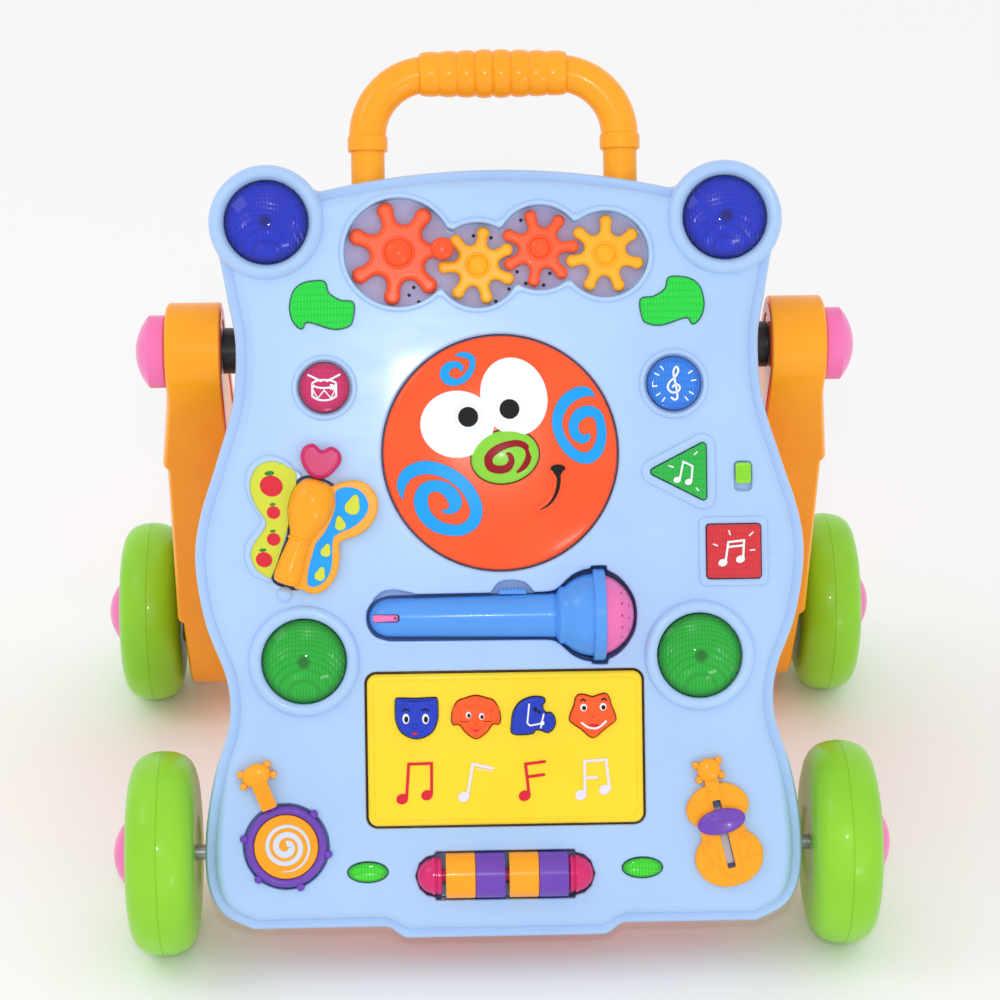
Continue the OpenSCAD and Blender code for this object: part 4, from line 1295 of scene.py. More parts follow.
@dataclass
class GearTrain:
    """Four meshing gears in the tray; the first carries a crank knob."""

    tips: tuple = (27.4, 20.5, 20.5, 20.7)
    roots: tuple = (15.0, 11.0, 11.0, 11.2)
    balls: tuple = (4.4, 3.3, 3.3, 3.3)
    teeth: int = 7
    first_phase: float = 13.7

    def phase(self, i: int) -> float:
        """The angle of one tooth, so that each gear's teeth meet gaps of the one before."""

        def bearing(a: int, b: int) -> float:
            """Direction from one gear's middle to another's, in degrees."""
            return math.degrees(math.atan2(GEARS[b][1] - GEARS[a][1], GEARS[b][0] - GEARS[a][0]))

        if i == 0:
            return bearing(0, 1) + self.first_phase
        return bearing(i, i - 1) + 180 / self.teeth - (self.phase(i - 1) - bearing(i - 1, i))

    def outline(self, i: int) -> Outline:
        """One gear's outline: round-tipped teeth and round valleys."""
        half = math.radians(180 / self.teeth)
        ball, root = self.balls[i], self.roots[i]
        neck = ball * 0.86
        reach = 180 - math.degrees(math.asin(neck / ball))
        away = (root - neck) / (1 - math.sin(half))
        tooth = circle(ball, (self.tips[i] - ball, 0), 40, -reach, reach)
        middle = (away * math.cos(half), away * math.sin(half))
        tooth += circle(away - root, middle, 48, 270, 90 + math.degrees(2 * half))[1:-1]
        return [
            p for k in range(self.teeth) for p in placed(
                tooth, (0, 0), self.phase(i) + 360 * k / self.teeth
            )
        ]

    def build(self) -> None:
        """Makes the four gears."""
        for i, word in enumerate(("one", "two", "three", "four")):
            soft = 2.6 if i == 0 else 2.0
            parts = [pillow(self.outline(i), -7.4, -1.4, soft, 0.5, 6)]
            cap = self.balls[i] * 1.72
            parts.append(turned([(0, -2.5)] + cap_profile(cap, 3.2, -1.5, 12), steps=48))
            parts.append(moved(torus(cap + 0.3, 0.8), 0, 0, -1.3))
            if i == 0:
                knob = [
                    (0, -2.2), (2.4, -2.2), (2.4, 1), (5, 1.1), (5.7, 1.6), (5.9, 2.4), (5.7, 3.6),
                    (4.9, 4.6), (3.4, 5.2), (0, 5.4)
                ]
                angle = math.radians(self.phase(0))
                arm = self.tips[0] - 4.6
                parts.append(moved(turned(knob, steps=40), arm * math.cos(angle), arm * math.sin(angle)))
            gear = moved(merged(*parts), *GEARS[i])
            finish, slot = (GEAR_RED, "gear_red") if i % 2 == 0 else (GEAR_YELLOW, "gear_yellow")
            show(f"gear_{word}_moulding", gear, finish, f"gear_{word}_wheel", slot, f"gear_{word}")


@dataclass
class Face:
    """The big turning face: a crowned disc with inlaid eyes and swirls, a mouth and a nose button."""

    radius: float = 61.0
    rise: float = 6.0
    nose: Point = (2.3, -2.2)
    nose_turn: float = 12.0

    def crown(self, distance: float) -> float:
        """The disc's height at a distance from its middle."""
        return self.rise * (1 - (distance / self.radius) ** 4)

    def inlay(self, name: str, shape: bmesh.types.BMesh, finish: Finish, slot: str, step: float = 4) -> None:
        """Shows a shape that lies on the crowned disc."""
        show(name, moved(draped(shape, (0, 0), self.crown, step), *FACE), finish, "face", slot, "face_disc")

    def build(self) -> None:
        """Makes the disc, its inlays and the nose."""
        rim = [(59, self.crown(59)), (60.2, 0.1), (60.8, -0.7), (61, -1.8), (61, -4.6), (60.6, -5), (0, -5)]
        disc_shape = turned(
            [(r, self.crown(r)) for r in (0, 8, 16, 24, 31, 37, 42, 46, 50, 53, 56)] + rim, steps=120
        )
        well = lofted(
            ellipse((18.3, 14.3), self.nose, self.nose_turn),
            [(0, -1.4), (0, 5.6), (0.25, 6.1), (0.8, 6.5), (0.8, 14)]
        )
        show(
            "face_moulding", moved(carved(disc_shape, [well]), *FACE), FACE_RED, "face", "gear_red",
            "face_disc"
        )
        eyes = merged(
            pillow(ellipse((19.2, 17.5), (-22.3, 15), 0, 72), -0.4, 0.75, 0.6),
            pillow(ellipse((17.3, 20.6), (7.3, 29), 15, 72), -0.4, 1.0, 0.6),
        )
        self.inlay("eye_whites", eyes, INK_WHITE, "speaker_black")
        rings = merged(*[moved(torus(7.3, 0.55), x, y, 0.9) for x, y in ((-16.6, 18.7), (4.9, 22.5))])
        self.inlay("pupil_rings", rings, INK_WHITE, "speaker_black", 40)
        pupils = merged(*[moved(disc(5.2, 0.4, 1.5, 0.7), x, y) for x, y in ((-16.6, 18.7), (4.9, 22.5))])
        self.inlay("pupils", pupils, INK_BLACK, "speaker_black", 40)
        left = [
            (-51.2, -23.6, 0.4), (-51.8, -16.6, 4.8), (-48, -10.1, 6.6), (-40, -7.2, 7), (-31.1, -8.7, 6.6),
            (-23.1, -13.1, 6.6), (-17.2, -19.1, 6.6), (-13.2, -27.6, 6.6), (-14.2, -35, 6.4),
            (-19.2, -39.2, 6),
            (-24.6, -40, 5.8), (-33.1, -38, 6.4), (-39.6, -32, 7), (-41.8, -24.6, 7.3), (-39.5, -18.6, 6.6),
            (-34.1, -16.8, 6), (-28.6, -18.6, 6.6), (-24.6, -23.1, 7.2), (-24.1, -27.1, 6.4),
            (-27.1, -30, 3.4),
            (-31.5, -30, 0.4),
        ]  # fmt: skip
        right = [
            (49.7, 28.5, 0.4), (45.5, 31.1, 5), (39.6, 30.1, 6.2), (33.6, 25.7, 6.2), (29.8, 17.7, 5.6),
            (30.4, 9.8, 5.2), (34.1, 2.8, 5.4), (39.5, -2.2, 5.6), (45.5, -3.4, 6), (50, -0.2, 6),
            (52.3, 5.3, 5.4),
            (52.8, 11.7, 5), (51, 18.7, 5), (46.5, 20.9, 5.8), (41.5, 19.4, 6.2), (38.3, 14.7, 5.2),
            (38.8, 9.3, 5.2),
            (42, 6.6, 4.8), (45, 7, 3.6), (46.2, 9.3, 1.4),
        ]  # fmt: skip
        small = [
            (-23.1, 50.7, 0.4), (-19.2, 51.3, 2.8), (-14.7, 49.6, 3.4), (-14, 45.1, 3), (-16.7, 40.1, 3.6),
            (-21.1, 37.1, 3.4), (-26.1, 37.6, 4.6), (-28.6, 41.1, 4.8), (-26.6, 45.1, 4.4),
            (-22.6, 46.1, 3.4),
            (-20, 44.8, 3), (-19.8, 42.2, 0.8),
        ]  # fmt: skip
        for name, spine in (("left_swirl", left), ("right_swirl", right), ("brow_swirl", small)):
            band = lofted(ribbon(spine), [(0, -0.6), (0, 0.35), (-0.25, 0.6)])
            self.inlay(name, band, INK_BLUE, "button_blue", 7)
        mouth = [
            (29.6, -8.2, 6), (29.6, -10.6, 4.6), (29.8, -12.6, 2.4), (30, -15.1, 2), (29.1, -20.1, 1.8),
            (26.6, -25.1, 1.3), (23.6, -28.1, 0.9), (20.1, -29.9, 0.3),
        ]  # fmt: skip
        wide = [(29.6, -6.6, 6.4)] + [(x, y, w + 3.6) for x, y, w in mouth] + [(17.8, -30.4, 2.4)]
        self.inlay(
            "lip", lofted(ribbon(wide), [(0, -0.6), (0, 0.3), (-0.4, 0.75), (-1, 0.9)]), FACE_RED,
            "gear_red", 7
        )
        line = merged(
            lofted(ribbon(mouth), [(0, 0.3), (0, 1.15)]),
            lofted(ellipse((3.9, 2.0), (29.6, -8.6), 0, 32), [(0, 0.3), (0, 1.2)]),
        )
        self.inlay("mouth_line", line, INK_BLACK, "speaker_black", 7)
        spiral = [
            (5.9, -8.4, 1), (9.7, -5.2, 3), (12.2, -0.2, 3.4), (11.2, 4.6, 3.4), (6.7, 6.8, 3.4),
            (0.7, 6, 3.6),
            (-5.2, 3.3, 4.2), (-8.7, -0.7, 4.4), (-7.7, -5.2, 4.4), (-3.2, -6.7, 4.2), (1.2, -5.7, 4),
            (3.2, -2.2, 3.2), (2.2, 1, 2.4), (0.4, 1.6, 0.8),
        ]  # fmt: skip
        dome = turned([(0, 1.2), (1, 1.2)] + swell_profile(1, 3.7, 5.8, 14), steps=72)
        dome.transform(Matrix.Diagonal((17.7, 13.7, 1, 1)))
        at = (FACE[0] + self.nose[0], FACE[1] + self.nose[1])
        show(
            "nose_moulding", moved(dome, *at, 0, self.nose_turn), NOSE_GREEN, "nose", "button_green",
            "nose_button"
        )

        def swell(distance: float) -> float:
            """The nose's height at a distance from its middle, measured as on a round one."""
            return 5.8 + 3.7 * math.sqrt(1 - min(distance / 16.4, 0.98) ** 2)

        band = draped(lofted(ribbon(spiral), [(0, -0.5), (0, 0.1), (-0.2, 0.25)]), (0, 0), swell, 1.5)
        show("nose_spiral", moved(band, *at), INK_WINE, "nose", "magenta", "nose_button")


@dataclass
class Keyboard:
    """The yellow plate with its four animal keys and the notes below them."""

    places: tuple = (-45.0, -14.2, 16.0, 46.5)
    level: float = -112.6

    def key(self, name: str, i: int, outline: Outline, finish: Finish, slot: str, details: list) -> None:
        """Makes one animal key; details are (name, shape, finish) in the key's own plan."""
        at = (self.places[i], self.level)
        body, node = f"{name}_key", f"{name}_button"
        blank = merged(
            pillow(outline, 0.4, 4.6, 1.3, 0.3, 5), *[shape for _, shape, look in details if look is finish]
        )
        show(f"{name}_moulding", moved(blank, *at), finish, body, slot, node)
        for part, shape, look in details:
            if look is not finish:
                show(f"{name}_{part}", moved(shape, *at), look, body, slot, node)

    def outlines(self) -> dict[str, Outline]:
        """The outlines of the four animals, anticlockwise."""
        cat = [
            (-10.5, 9.6), (-10.8, 4), (-10.4, -1.6), (-7.4, -7.6), (0, -10.6), (7.4, -7.6), (10.4, -1.6),
            (10.8, 4), (10.5, 9.6), (8.4, 10.2), (0, 9.9), (-8.4, 10.2),
        ]  # fmt: skip
        puppy = [
            (0, 11), (-5, 9.8), (-9.5, 8), (-12.2, 2), (-12, -3.4), (-8.6, -3.6), (-5, -8), (0, -11), (5, -8),
            (8.6, -3.6), (12, -3.4), (12.2, 2), (9.5, 8), (5, 9.8),
        ]  # fmt: skip
        horse = [
            (-1.4, -8.9), (0.4, -7), (3.6, -7.2), (7.4, -8.4), (10.4, -5.4), (10.6, -1.4), (8.8, 1.4),
            (6.2, 1.5),
            (4.6, 3.4), (4.4, 6), (5.6, 7.6), (4.9, 9.3), (1.4, 10), (-3.2, 9.3), (-7.6, 6.8), (-10.5, 2.2),
            (-11.4, -3.2), (-11, -8.8),
        ]  # fmt: skip
        frog = [
            (-6.8, 10.7), (-8.6, 8.8), (-9.5, 5.2), (-11.8, -0.9), (-11, -3.4), (-5.9, -7), (-1.4, -11),
            (1.4, -11),
            (5.9, -7.2), (11, -3.4), (11.8, -0.9), (9.5, 5.2), (8.6, 8.8), (6.8, 11), (3.4, 10.4), (0, 9.4),
            (-3.4, 10.4),
        ]  # fmt: skip
        return {
            "cat": smooth_loop(cat, 4), "puppy": smooth_loop(puppy, 4),
            "horse": smooth_loop(horse, 4), "frog": smooth_loop(frog, 4),
        }  # fmt: skip

    def eyes(self, spots: list[Point], size: Point) -> list:
        """White eyes with black pupils."""
        white = blobs([(x, y, *size, 0) for x, y in spots], 4.3, 4.95)
        black = blobs([(x + 0.2, y - 0.3, size[0] * 0.6, size[1] * 0.6, 0) for x, y in spots], 4.7, 5.2)
        return [("eyes", white, INK_WHITE), ("pupils", black, INK_BLACK)]

    def build(self) -> None:
        """Makes the plate, keys and notes."""
        shapes = self.outlines()
        plate = pillow(box_outline((71.6, 39.5), 5, KEYS), -3, 2.5, 2.3, 0.2, 6)
        wells = [
            moved(
                lofted(grown(outline, 0.5), [(0, -6), (0, 2.1), (0.15, 2.4), (0.6, 2.7), (0.6, 6)]), x,
                self.level
            )
            for outline, x in zip(shapes.values(), self.places)
        ]
        rim = bead([(x, y, 2.45) for x, y in box_outline((68.4, 36.3), 4, KEYS)], 0.35, True)
        plate = merged(carved(plate, wells), rim)
        show("plate_moulding", plate, YELLOW, "console", "plate_yellow", "keyboard_plate")
        seal = bead([(x, y, -1.6) for x, y in box_outline((72.2, 40.1), 5.4, KEYS)], 0.75, True)
        show("plate_seal", seal, MAROON, "console", "plate_yellow", "keyboard_plate")
        cat = self.eyes([(-5.6, -0.2), (4.6, -0.4)], (1.8, 2.7))
        cat.append(("muzzle", blobs([(-0.8, -4.4, 1.5, 1.2, 0)], 3.6, 5.3, 0.9), ANIMAL_BLUE))
        cat.append(
            ("ears", blobs([(-8.3, 7.5, 2, 2, 20), (8.3, 7.5, 2, 2, -20)], 3.6, 5.1, 0.9), ANIMAL_BLUE)
        )
        brows = [[(-7.4, 3.8), (-5.6, 4.9), (-3.9, 4.1)], [(2.8, 3.9), (4.6, 4.7), (6.4, 3.6)]]
        cat.append(("brows", lines(brows, 0.8, 4.2, 5), INK_BLACK))
        mouth = [(-3, -8), (-1, -8.9), (1, -8), (-1, -7.1)]
        cat.append(("mouth", pillow(mouth, 3.2, 4.9, 0.3), INK_RED))
        self.key("cat", 0, shapes["cat"], ANIMAL_BLUE, "button_blue", cat)
        puppy = self.eyes([(-3.9, 1.2), (2.9, 0.4)], (1.4, 1.8))
        ears = [
            (-9.8, 1.4, 2.2, 4.6, 12), (9.8, 1.4, 2.2, 4.6, -12), (0, 8, 3, 2.2, 0), (-3.2, 6.8, 2, 1.8, 0)
        ]
        ears += [(3.2, 6.8, 2, 1.8, 0), (7, 4.2, 1.5, 1.5, 0)]
        puppy.append(("ears", blobs(ears, 3.4, 5.4, 1.2), ANIMAL_ORANGE))
        muzzle = [(-2.4, -3.6, 2.4, 1.8, 0), (2.4, -3.6, 2.4, 1.8, 0), (0, -2, 1.3, 1, 0)]
        puppy.append(("muzzle", blobs(muzzle, 3.8, 5.3, 1.0), ANIMAL_ORANGE))
        grin = [(-2.8, -5.9), (-0.2, -7.7), (2.4, -6.1), (-0.2, -6.5)]
        puppy.append(("mouth", pillow(grin, 3.4, 4.9, 0.2), INK_RED))
        self.key("puppy", 1, shapes["puppy"], ANIMAL_ORANGE, "gear_red", puppy)
        straps = [[(-2.5, 6.4), (-3.6, -3.4), (-2.2, -4.8), (3.8, -3.7)], [(5, 1), (3.8, -3.7), (3.4, -6)]]
        bridle = merged(lines(straps, 0.9, 4.2, 5), blobs([(4.2, -3.6, 1.1, 1.1, 0)], 4.2, 5.2, 0.3))
        nose = blobs([(7.8, -3.2, 2.2, 2.2, 0)], 3.6, 5.1, 0.9)
        spots = blobs([(0.6, 3.6, 1.1, 1.1, 0), (2.7, 2.2, 1, 0.8, -30)], 4.3, 5.0)
        horse = [("bridle", bridle, INK_WHITE), ("nose", nose, ANIMAL_BLUE), ("eye", spots, INK_BLACK)]
        self.key("horse", 2, shapes["horse"], ANIMAL_BLUE, "button_blue", horse)
        frog = self.eyes([(-4.7, 4.2), (5.4, 4.4)], (1.8, 2.0))
        frog.append(
            (
                "lids", blobs([(-5.6, 7.7, 2.4, 1.5, -14), (6, 7.9, 2.4, 1.5, 14)], 3.6, 5.1, 1.0),
                ANIMAL_ORANGE
            )
        )
        brows = [[(-6.2, 7.6), (-5.1, 8.5), (-3.8, 7.8)], [(4.7, 8), (6, 8.8), (7.2, 7.8)]]
        frog.append(("brows", lines(brows, 0.8, 4.2, 5.4), INK_BLACK))
        cheeks = [(-8, -2.2, 1.8, 1.5, 0), (8, -2.2, 1.8, 1.5, 0), (0, -0.6, 1.6, 1, 0)]
        frog.append(("cheeks", blobs(cheeks, 3.6, 5.1, 0.9), ANIMAL_ORANGE))
        smile = smooth_path([(-5.9, -3.7), (-2.3, -6.2), (2.6, -6.5), (7, -3)], 3)
        frog.append(("teeth", stroke(smile, 1.1, 4.2, 5.0), INK_WHITE))
        frog.append(("mouth", blobs([(0.4, -5.2, 3, 0.8, 0)], 4.2, 4.85, 0.2), INK_RED))
        self.key("frog", 3, shapes["frog"], ANIMAL_ORANGE, "gear_red", frog)
        red = merged(
            lines([[(-50.8, -154), (-49.5, -136.5), (-37.6, -136.3), (-37.8, -152.2)]], 1.5, 2.3, 3.1),
            lines(
                [[(12.8, -152.9), (11.2, -137.5), (21.3, -136.3)], [(11.8, -144.2), (20.8, -143.1)]], 1.5,
                2.3, 3.1
            ),
            blobs(
                [(-53.1, -154.6, 3.1, 2.7, 20), (-40.2, -152.8, 3, 2.6, 20), (10.6, -153.9, 3.2, 2.7, 20)],
                2.3, 3.2
            ),
        )
        show("red_notes", red, INK_RED, "console", "magenta", "keyboard_plate")
        white = merged(
            lines([[(-19, -152.4), (-16.2, -137), (-5.9, -139.4)]], 1.5, 2.3, 3.1),
            lines(
                [
                    [(42, -152.9), (42, -136.5), (53.2, -135.9), (54.8, -151.3)],
                    [(43.1, -145), (48.4, -145)]
                ],
                1.5, 2.3, 3.1
            ),
            lines([[(-14.4, -139.3), (-6.2, -141.1)]], 0.5, 2.3, 2.7),
            blobs(
                [(-21.2, -154, 3.1, 2.6, 20), (39.8, -154, 3.1, 2.7, 20), (52.2, -151.5, 3, 2.6, 20)], 2.3,
                3.2
            ),
        )
        show("white_notes", white, INK_PEARL, "console", "panel_blue", "keyboard_plate")


@dataclass
class Buttons:
    """The shaped push buttons with their raised signs, and the power switch."""

    sign: float = 1.1

    def round_key(self, radius: float, top: float, size: Point = (1, 1)) -> bmesh.types.BMesh:
        """A slightly domed round key; size stretches it."""
        profile = [(0, -2.2), (radius, -2.2), (radius, top - 1.2), (radius - 0.3, top - 0.5)]
        key = turned(profile + cap_profile(radius - 0.9, 0.5, top - 0.1, 6), steps=64)
        key.transform(Matrix.Diagonal((size[0], size[1], 1, 1)))
        return marked(key, (radius * size[0], radius * size[1]))

    def build(self) -> None:
        """Makes the buttons."""
        w = self.sign
        show(
            "drum_key_top", moved(self.round_key(13, 3), *DRUM), KEY_MAGENTA, "drum_key", "magenta",
            "drum_button"
        )
        rim = smooth_loop([(x, y + 1.8) for x, y in ellipse((6.2, 2.1), steps=10)], 3)
        drum = merged(
            stroke(rim + rim[:1], w, 3.0, 3.8),
            lines([[(-6.2, 1.6), (-6.2, -4.6)], [(6.2, 1.6), (6.2, -4.6)]], w, 3.0, 3.8),
            stroke(
                smooth_path([(-6.2, -4.6), (-3.4, -6.2), (0, -6.7), (3.4, -6.2), (6.2, -4.6)], 3), w, 3.0,
                3.8
            ),
            lines([[(-6.2, -0.4), (-3.4, -5.6), (0, -1.4), (3.4, -5.6), (6.2, -0.4)]], 0.8, 3.0, 3.7),
            lines([[(-8.2, 6.6), (-1.4, 3.2)], [(8.2, 6.6), (1.4, 3.2)]], w, 3.0, 3.9),
        )
        show("drum_sign", moved(drum, *DRUM), INK_WHITE, "drum_key", "magenta", "drum_button")
        show(
            "clef_key_top", moved(self.round_key(14, 3), *CLEF), KEY_BLUE, "clef_key", "button_blue",
            "clef_button"
        )
        clef = [
            (-1.6, -7.4), (0.2, -8.6), (1.6, -7), (0.6, 0), (-0.4, 6), (1.2, 8.6), (2.2, 6.6), (0.6, 3.4),
            (-2.6, 0.4),
            (-3.4, -2.6), (-1.2, -4.8), (2, -4.2), (2.8, -1.8), (0.8, -0.4), (-0.9, -2),
        ]  # fmt: skip
        rays = [
            [
                placed([(9, 0)], (0, 0), a)[0], placed([(11.4, 0)], (0, 0), a)[0]
            ] for a in (-52, -30, 8, 34, 128, 152, 188, 214, 236)
        ]
        signs = merged(stroke(smooth_path(clef, 3), 1.1, 3.0, 3.9), lines(rays, 0.8, 3.0, 3.6))
        show("clef_sign", moved(signs, *CLEF), INK_WHITE, "clef_key", "button_blue", "clef_button")
        corner = lofted(rounded(TRIANGLE, 1.6), [(0, -2.2), (0, 2.4), (-0.3, 3.1), (-0.9, 3.4)])
        show(
            "triangle_key_top", marked(corner, (1e6, 1e6), 0.5), KEY_GREEN, "triangle_key", "button_green",
            "triangle_button"
        )
        note = merged(
            lines([[(93.6, 9.4), (95.6, 18.6), (100.4, 16.2), (99.6, 8.4)]], w, 3.3, 4.1),
            blobs([(92.3, 9.2, 2, 1.6, 20), (98.2, 8, 2, 1.6, 20)], 3.3, 4.2),
            lines(
                [[(88, 16.6), (90.4, 15.8)], [(101.4, 22.2), (103, 23.6)], [(102.2, 4.8), (103.4, 3.4)]],
                0.8, 3.3, 3.9
            ),
        )
        show("triangle_sign", note, INK_WHITE, "triangle_key", "button_green", "triangle_button")
        block = lofted(box_outline((14, 14), 1.8, SQUARE), [(0, -2.2), (0, 2.4), (-0.3, 3.1), (-0.9, 3.4)])
        show(
            "square_key_top", marked(block, (1e6, 1e6), 0.5), KEY_RED, "square_key", "button_red",
            "square_button"
        )
        sign = merged(
            lines(
                [[(-4.6, -5.4), (-3, 4.8), (5.2, 5.6), (4.6, -3.6)], [(-3.4, 2.2), (5, 3)]], 1.2, 3.3, 4.1
            ),
            blobs([(-6, -5.9, 2.4, 1.9, 20), (3.2, -4.2, 2.4, 1.9, 20)], 3.3, 4.2),
            lines(
                [
                    [(8, 8), (10, 9.8)], [(8.4, 0.4), (10.8, 0.6)], [(-8.6, 3), (-10.8, 3.8)],
                    [(-2, 8.6), (-2.6, 10.8)]
                ],
                0.8, 3.3, 3.9
            ),
        )
        show("square_sign", moved(sign, *SQUARE), INK_WHITE, "square_key", "button_red", "square_button")
        for side in Side:
            name = side.name.lower()
            key = turned([(0, -1.6), (1, -1.6)] + swell_profile(1, 1.0, 0.6, 10), steps=56)
            key.transform(Matrix.Diagonal((10.2, 5, 1, 1)))
            key = moved(marked(key, (10.2, 5)), side.value * 71.5, -192.6)
            body, node = f"{name}_oval_key", f"{name}_oval_button"
            show(f"{name}_oval_key_top", key, KEY_OVAL, body, "button_green", node)
        knob = pillow(box_outline((4, 5.4), 1.6, (SWITCH[0], SWITCH[1] + 1.6)), 0.2, 2.0, 0.7)
        grips = [
            lofted(
                box_outline((3.4, 0.4), 0.35, (SWITCH[0], SWITCH[1] + 1.6 + k)),
                [(0, 1.6), (0, 2.3), (-0.2, 2.6)]
            ) for k in (-3, -1, 1, 3)
        ]
        show(
            "switch_knob", merged(knob, *grips), SLIDER_GREEN, "power_slider", "button_green",
            "power_switch"
        )


@dataclass
class Butterfly:
    """The butterfly: a fixed left wing, a heart for a head, and a hinged body and right wing."""

    lift: float = 2.5

    def on_hinge(self, shape: bmesh.types.BMesh) -> bmesh.types.BMesh:
        """Places a shape drawn beside the hinge line."""
        return moved(shape, *HINGE, self.lift, HINGE_TURN)

    def build(self) -> None:
        """Makes the wings, pictures, body and heart."""
        profile = smooth_path([
            (0, 0), (4.6, 0.3), (8.4, 2.4), (11.2, 8), (11.5, 14), (10.8, 19.5), (8.6, 25), (6.3, 30),
            (5.8, 33), (6.2, 37), (6.8, 43), (7.3, 50), (7.0, 54.4), (5.4, 56.4), (0, 57),
        ], 4)  # fmt: skip
        room = tipped(turned([(r + 0.5 if r > 0 else 0, y) for r, y in profile], steps=64), 90, "X")
        picture = carved(lofted(grown(LEFT_PICTURE, -0.3), [(0, -2.2), (0, -1.75)]), [room])
        show("left_picture", self.on_hinge(picture), STICKER_LIME, "console", "leaf_green", "front_panel")
        apples = [
            (-23, -10.5, 6, 5.4, 0), (-17.6, -23.2, 3.5, 3.3, 0), (-13.2, -36.4, 3.5, 3.3, 0),
            (-14.6, -48, 4.3, 3.9, 0)
        ]
        show(
            "apples", self.on_hinge(blobs(apples, -1.9, -1.55, 0.15)), INK_RED, "console", "button_red",
            "front_panel"
        )
        leaves = [(x - 0.5 * a, y + b + 0.6, a * 0.42, a * 0.2, 24) for x, y, a, b, _ in apples]
        show(
            "apple_leaves", self.on_hinge(blobs(leaves, -1.9, -1.5, 0.1)), INK_LEAF, "console",
            "leaf_green", "front_panel"
        )
        heart = smooth_loop([
            (0.6, 5.6), (-3.4, 9), (-8.6, 7.4), (-10.4, 2), (-8, -4.6), (-2.6, -9.2), (3.4, -8.4), (8, -4.4),
            (10.8, 0), (9.8, 4.8), (5.4, 7.4),
        ], 5)  # fmt: skip
        shape = moved(pillow(heart, 0.1, 6, 2.3, 0.2, 8), -92.9, 21.6)
        show("heart_moulding", shape, CRIMSON, "console", "magenta", "heart_cap")
        edge = smooth_loop([
            (3, -4), (6.2, -1.4), (10.4, 2.2), (15.6, 5.2), (22, 6.4), (28.5, 3.5), (32.5, -1.5), (33.5, -8),
            (32, -14.5), (28, -20.5), (22.5, -24.5), (20, -28), (21.5, -32), (23, -37.5), (23.5, -44),
            (22, -50),
            (18.5, -55), (14, -57), (9, -56.5), (4, -55), (3, -30),
        ], 4)[::-1]  # fmt: skip
        wing = pillow(edge, -0.8, 1.8, 1.0, 0.5)
        body = tipped(turned([(max(r, 0), y) for r, y in profile], steps=64), 90, "X")
        waist = moved(tipped(torus(5.6, 1.0), 90, "X"), 0, -32.4)
        flap = self.on_hinge(merged(wing, body, waist))
        show("flap_moulding", flap, AMBER, "flap", "yellow_orange", "butterfly_flap")
        field_edge = smooth_loop([
            (9.8, -3), (13, 0.5), (18.5, 2), (23, 1), (26.8, -2), (28.6, -6.5), (27.4, -12), (24, -17.5),
            (19.5, -21.5), (16.5, -25), (16.5, -28.5), (18, -33.5), (19.5, -38.5), (20, -44.5), (18.5, -49.5),
            (15, -53), (11, -53), (9, -45.5), (8.4, -36), (8.6, -31), (10.8, -25), (12, -18), (12, -10),
        ], 4)[::-1]  # fmt: skip
        field_shape = lofted(field_edge, [(0, 1.6), (0, 2.0)])
        show(
            "flap_picture", self.on_hinge(field_shape), STICKER_BLUE, "flap", "button_blue",
            "butterfly_flap"
        )
        pear = [
            (0, -4), (3, -3), (3.9, 0), (2.6, 3), (1.7, 5.4), (0, 6.6), (-1.7, 5.4), (-2.6, 3), (-3.9, 0),
            (-3, -3)
        ]
        spots = [(1, 20.5, -7.6, 0), (0.72, 17.4, -18.4, 30), (0.66, 14.6, -34, 0), (0.7, 15.6, -46.6, 0)]
        pears = merged(*[
            moved(
                pillow(smooth_loop([(x * size, y * size) for x, y in pear], 3), 1.9, 2.4, 0.2), px, py, 0,
                turn
            )
            for size, px, py, turn in spots
        ])  # fmt: skip
        show("pears", self.on_hinge(pears), STICKER_LIME, "flap", "leaf_green", "butterfly_flap")
        nub = turned([(0, -1)] + cap_profile(4.6, 2.6, -0.1, 10), steps=40)
        nub.transform(Matrix.Diagonal((1, 0.9, 1, 1)))
        show("tail_nub", moved(nub, -112.8, -47.6), BLUE_PANEL, "console", "panel_blue", "front_panel")


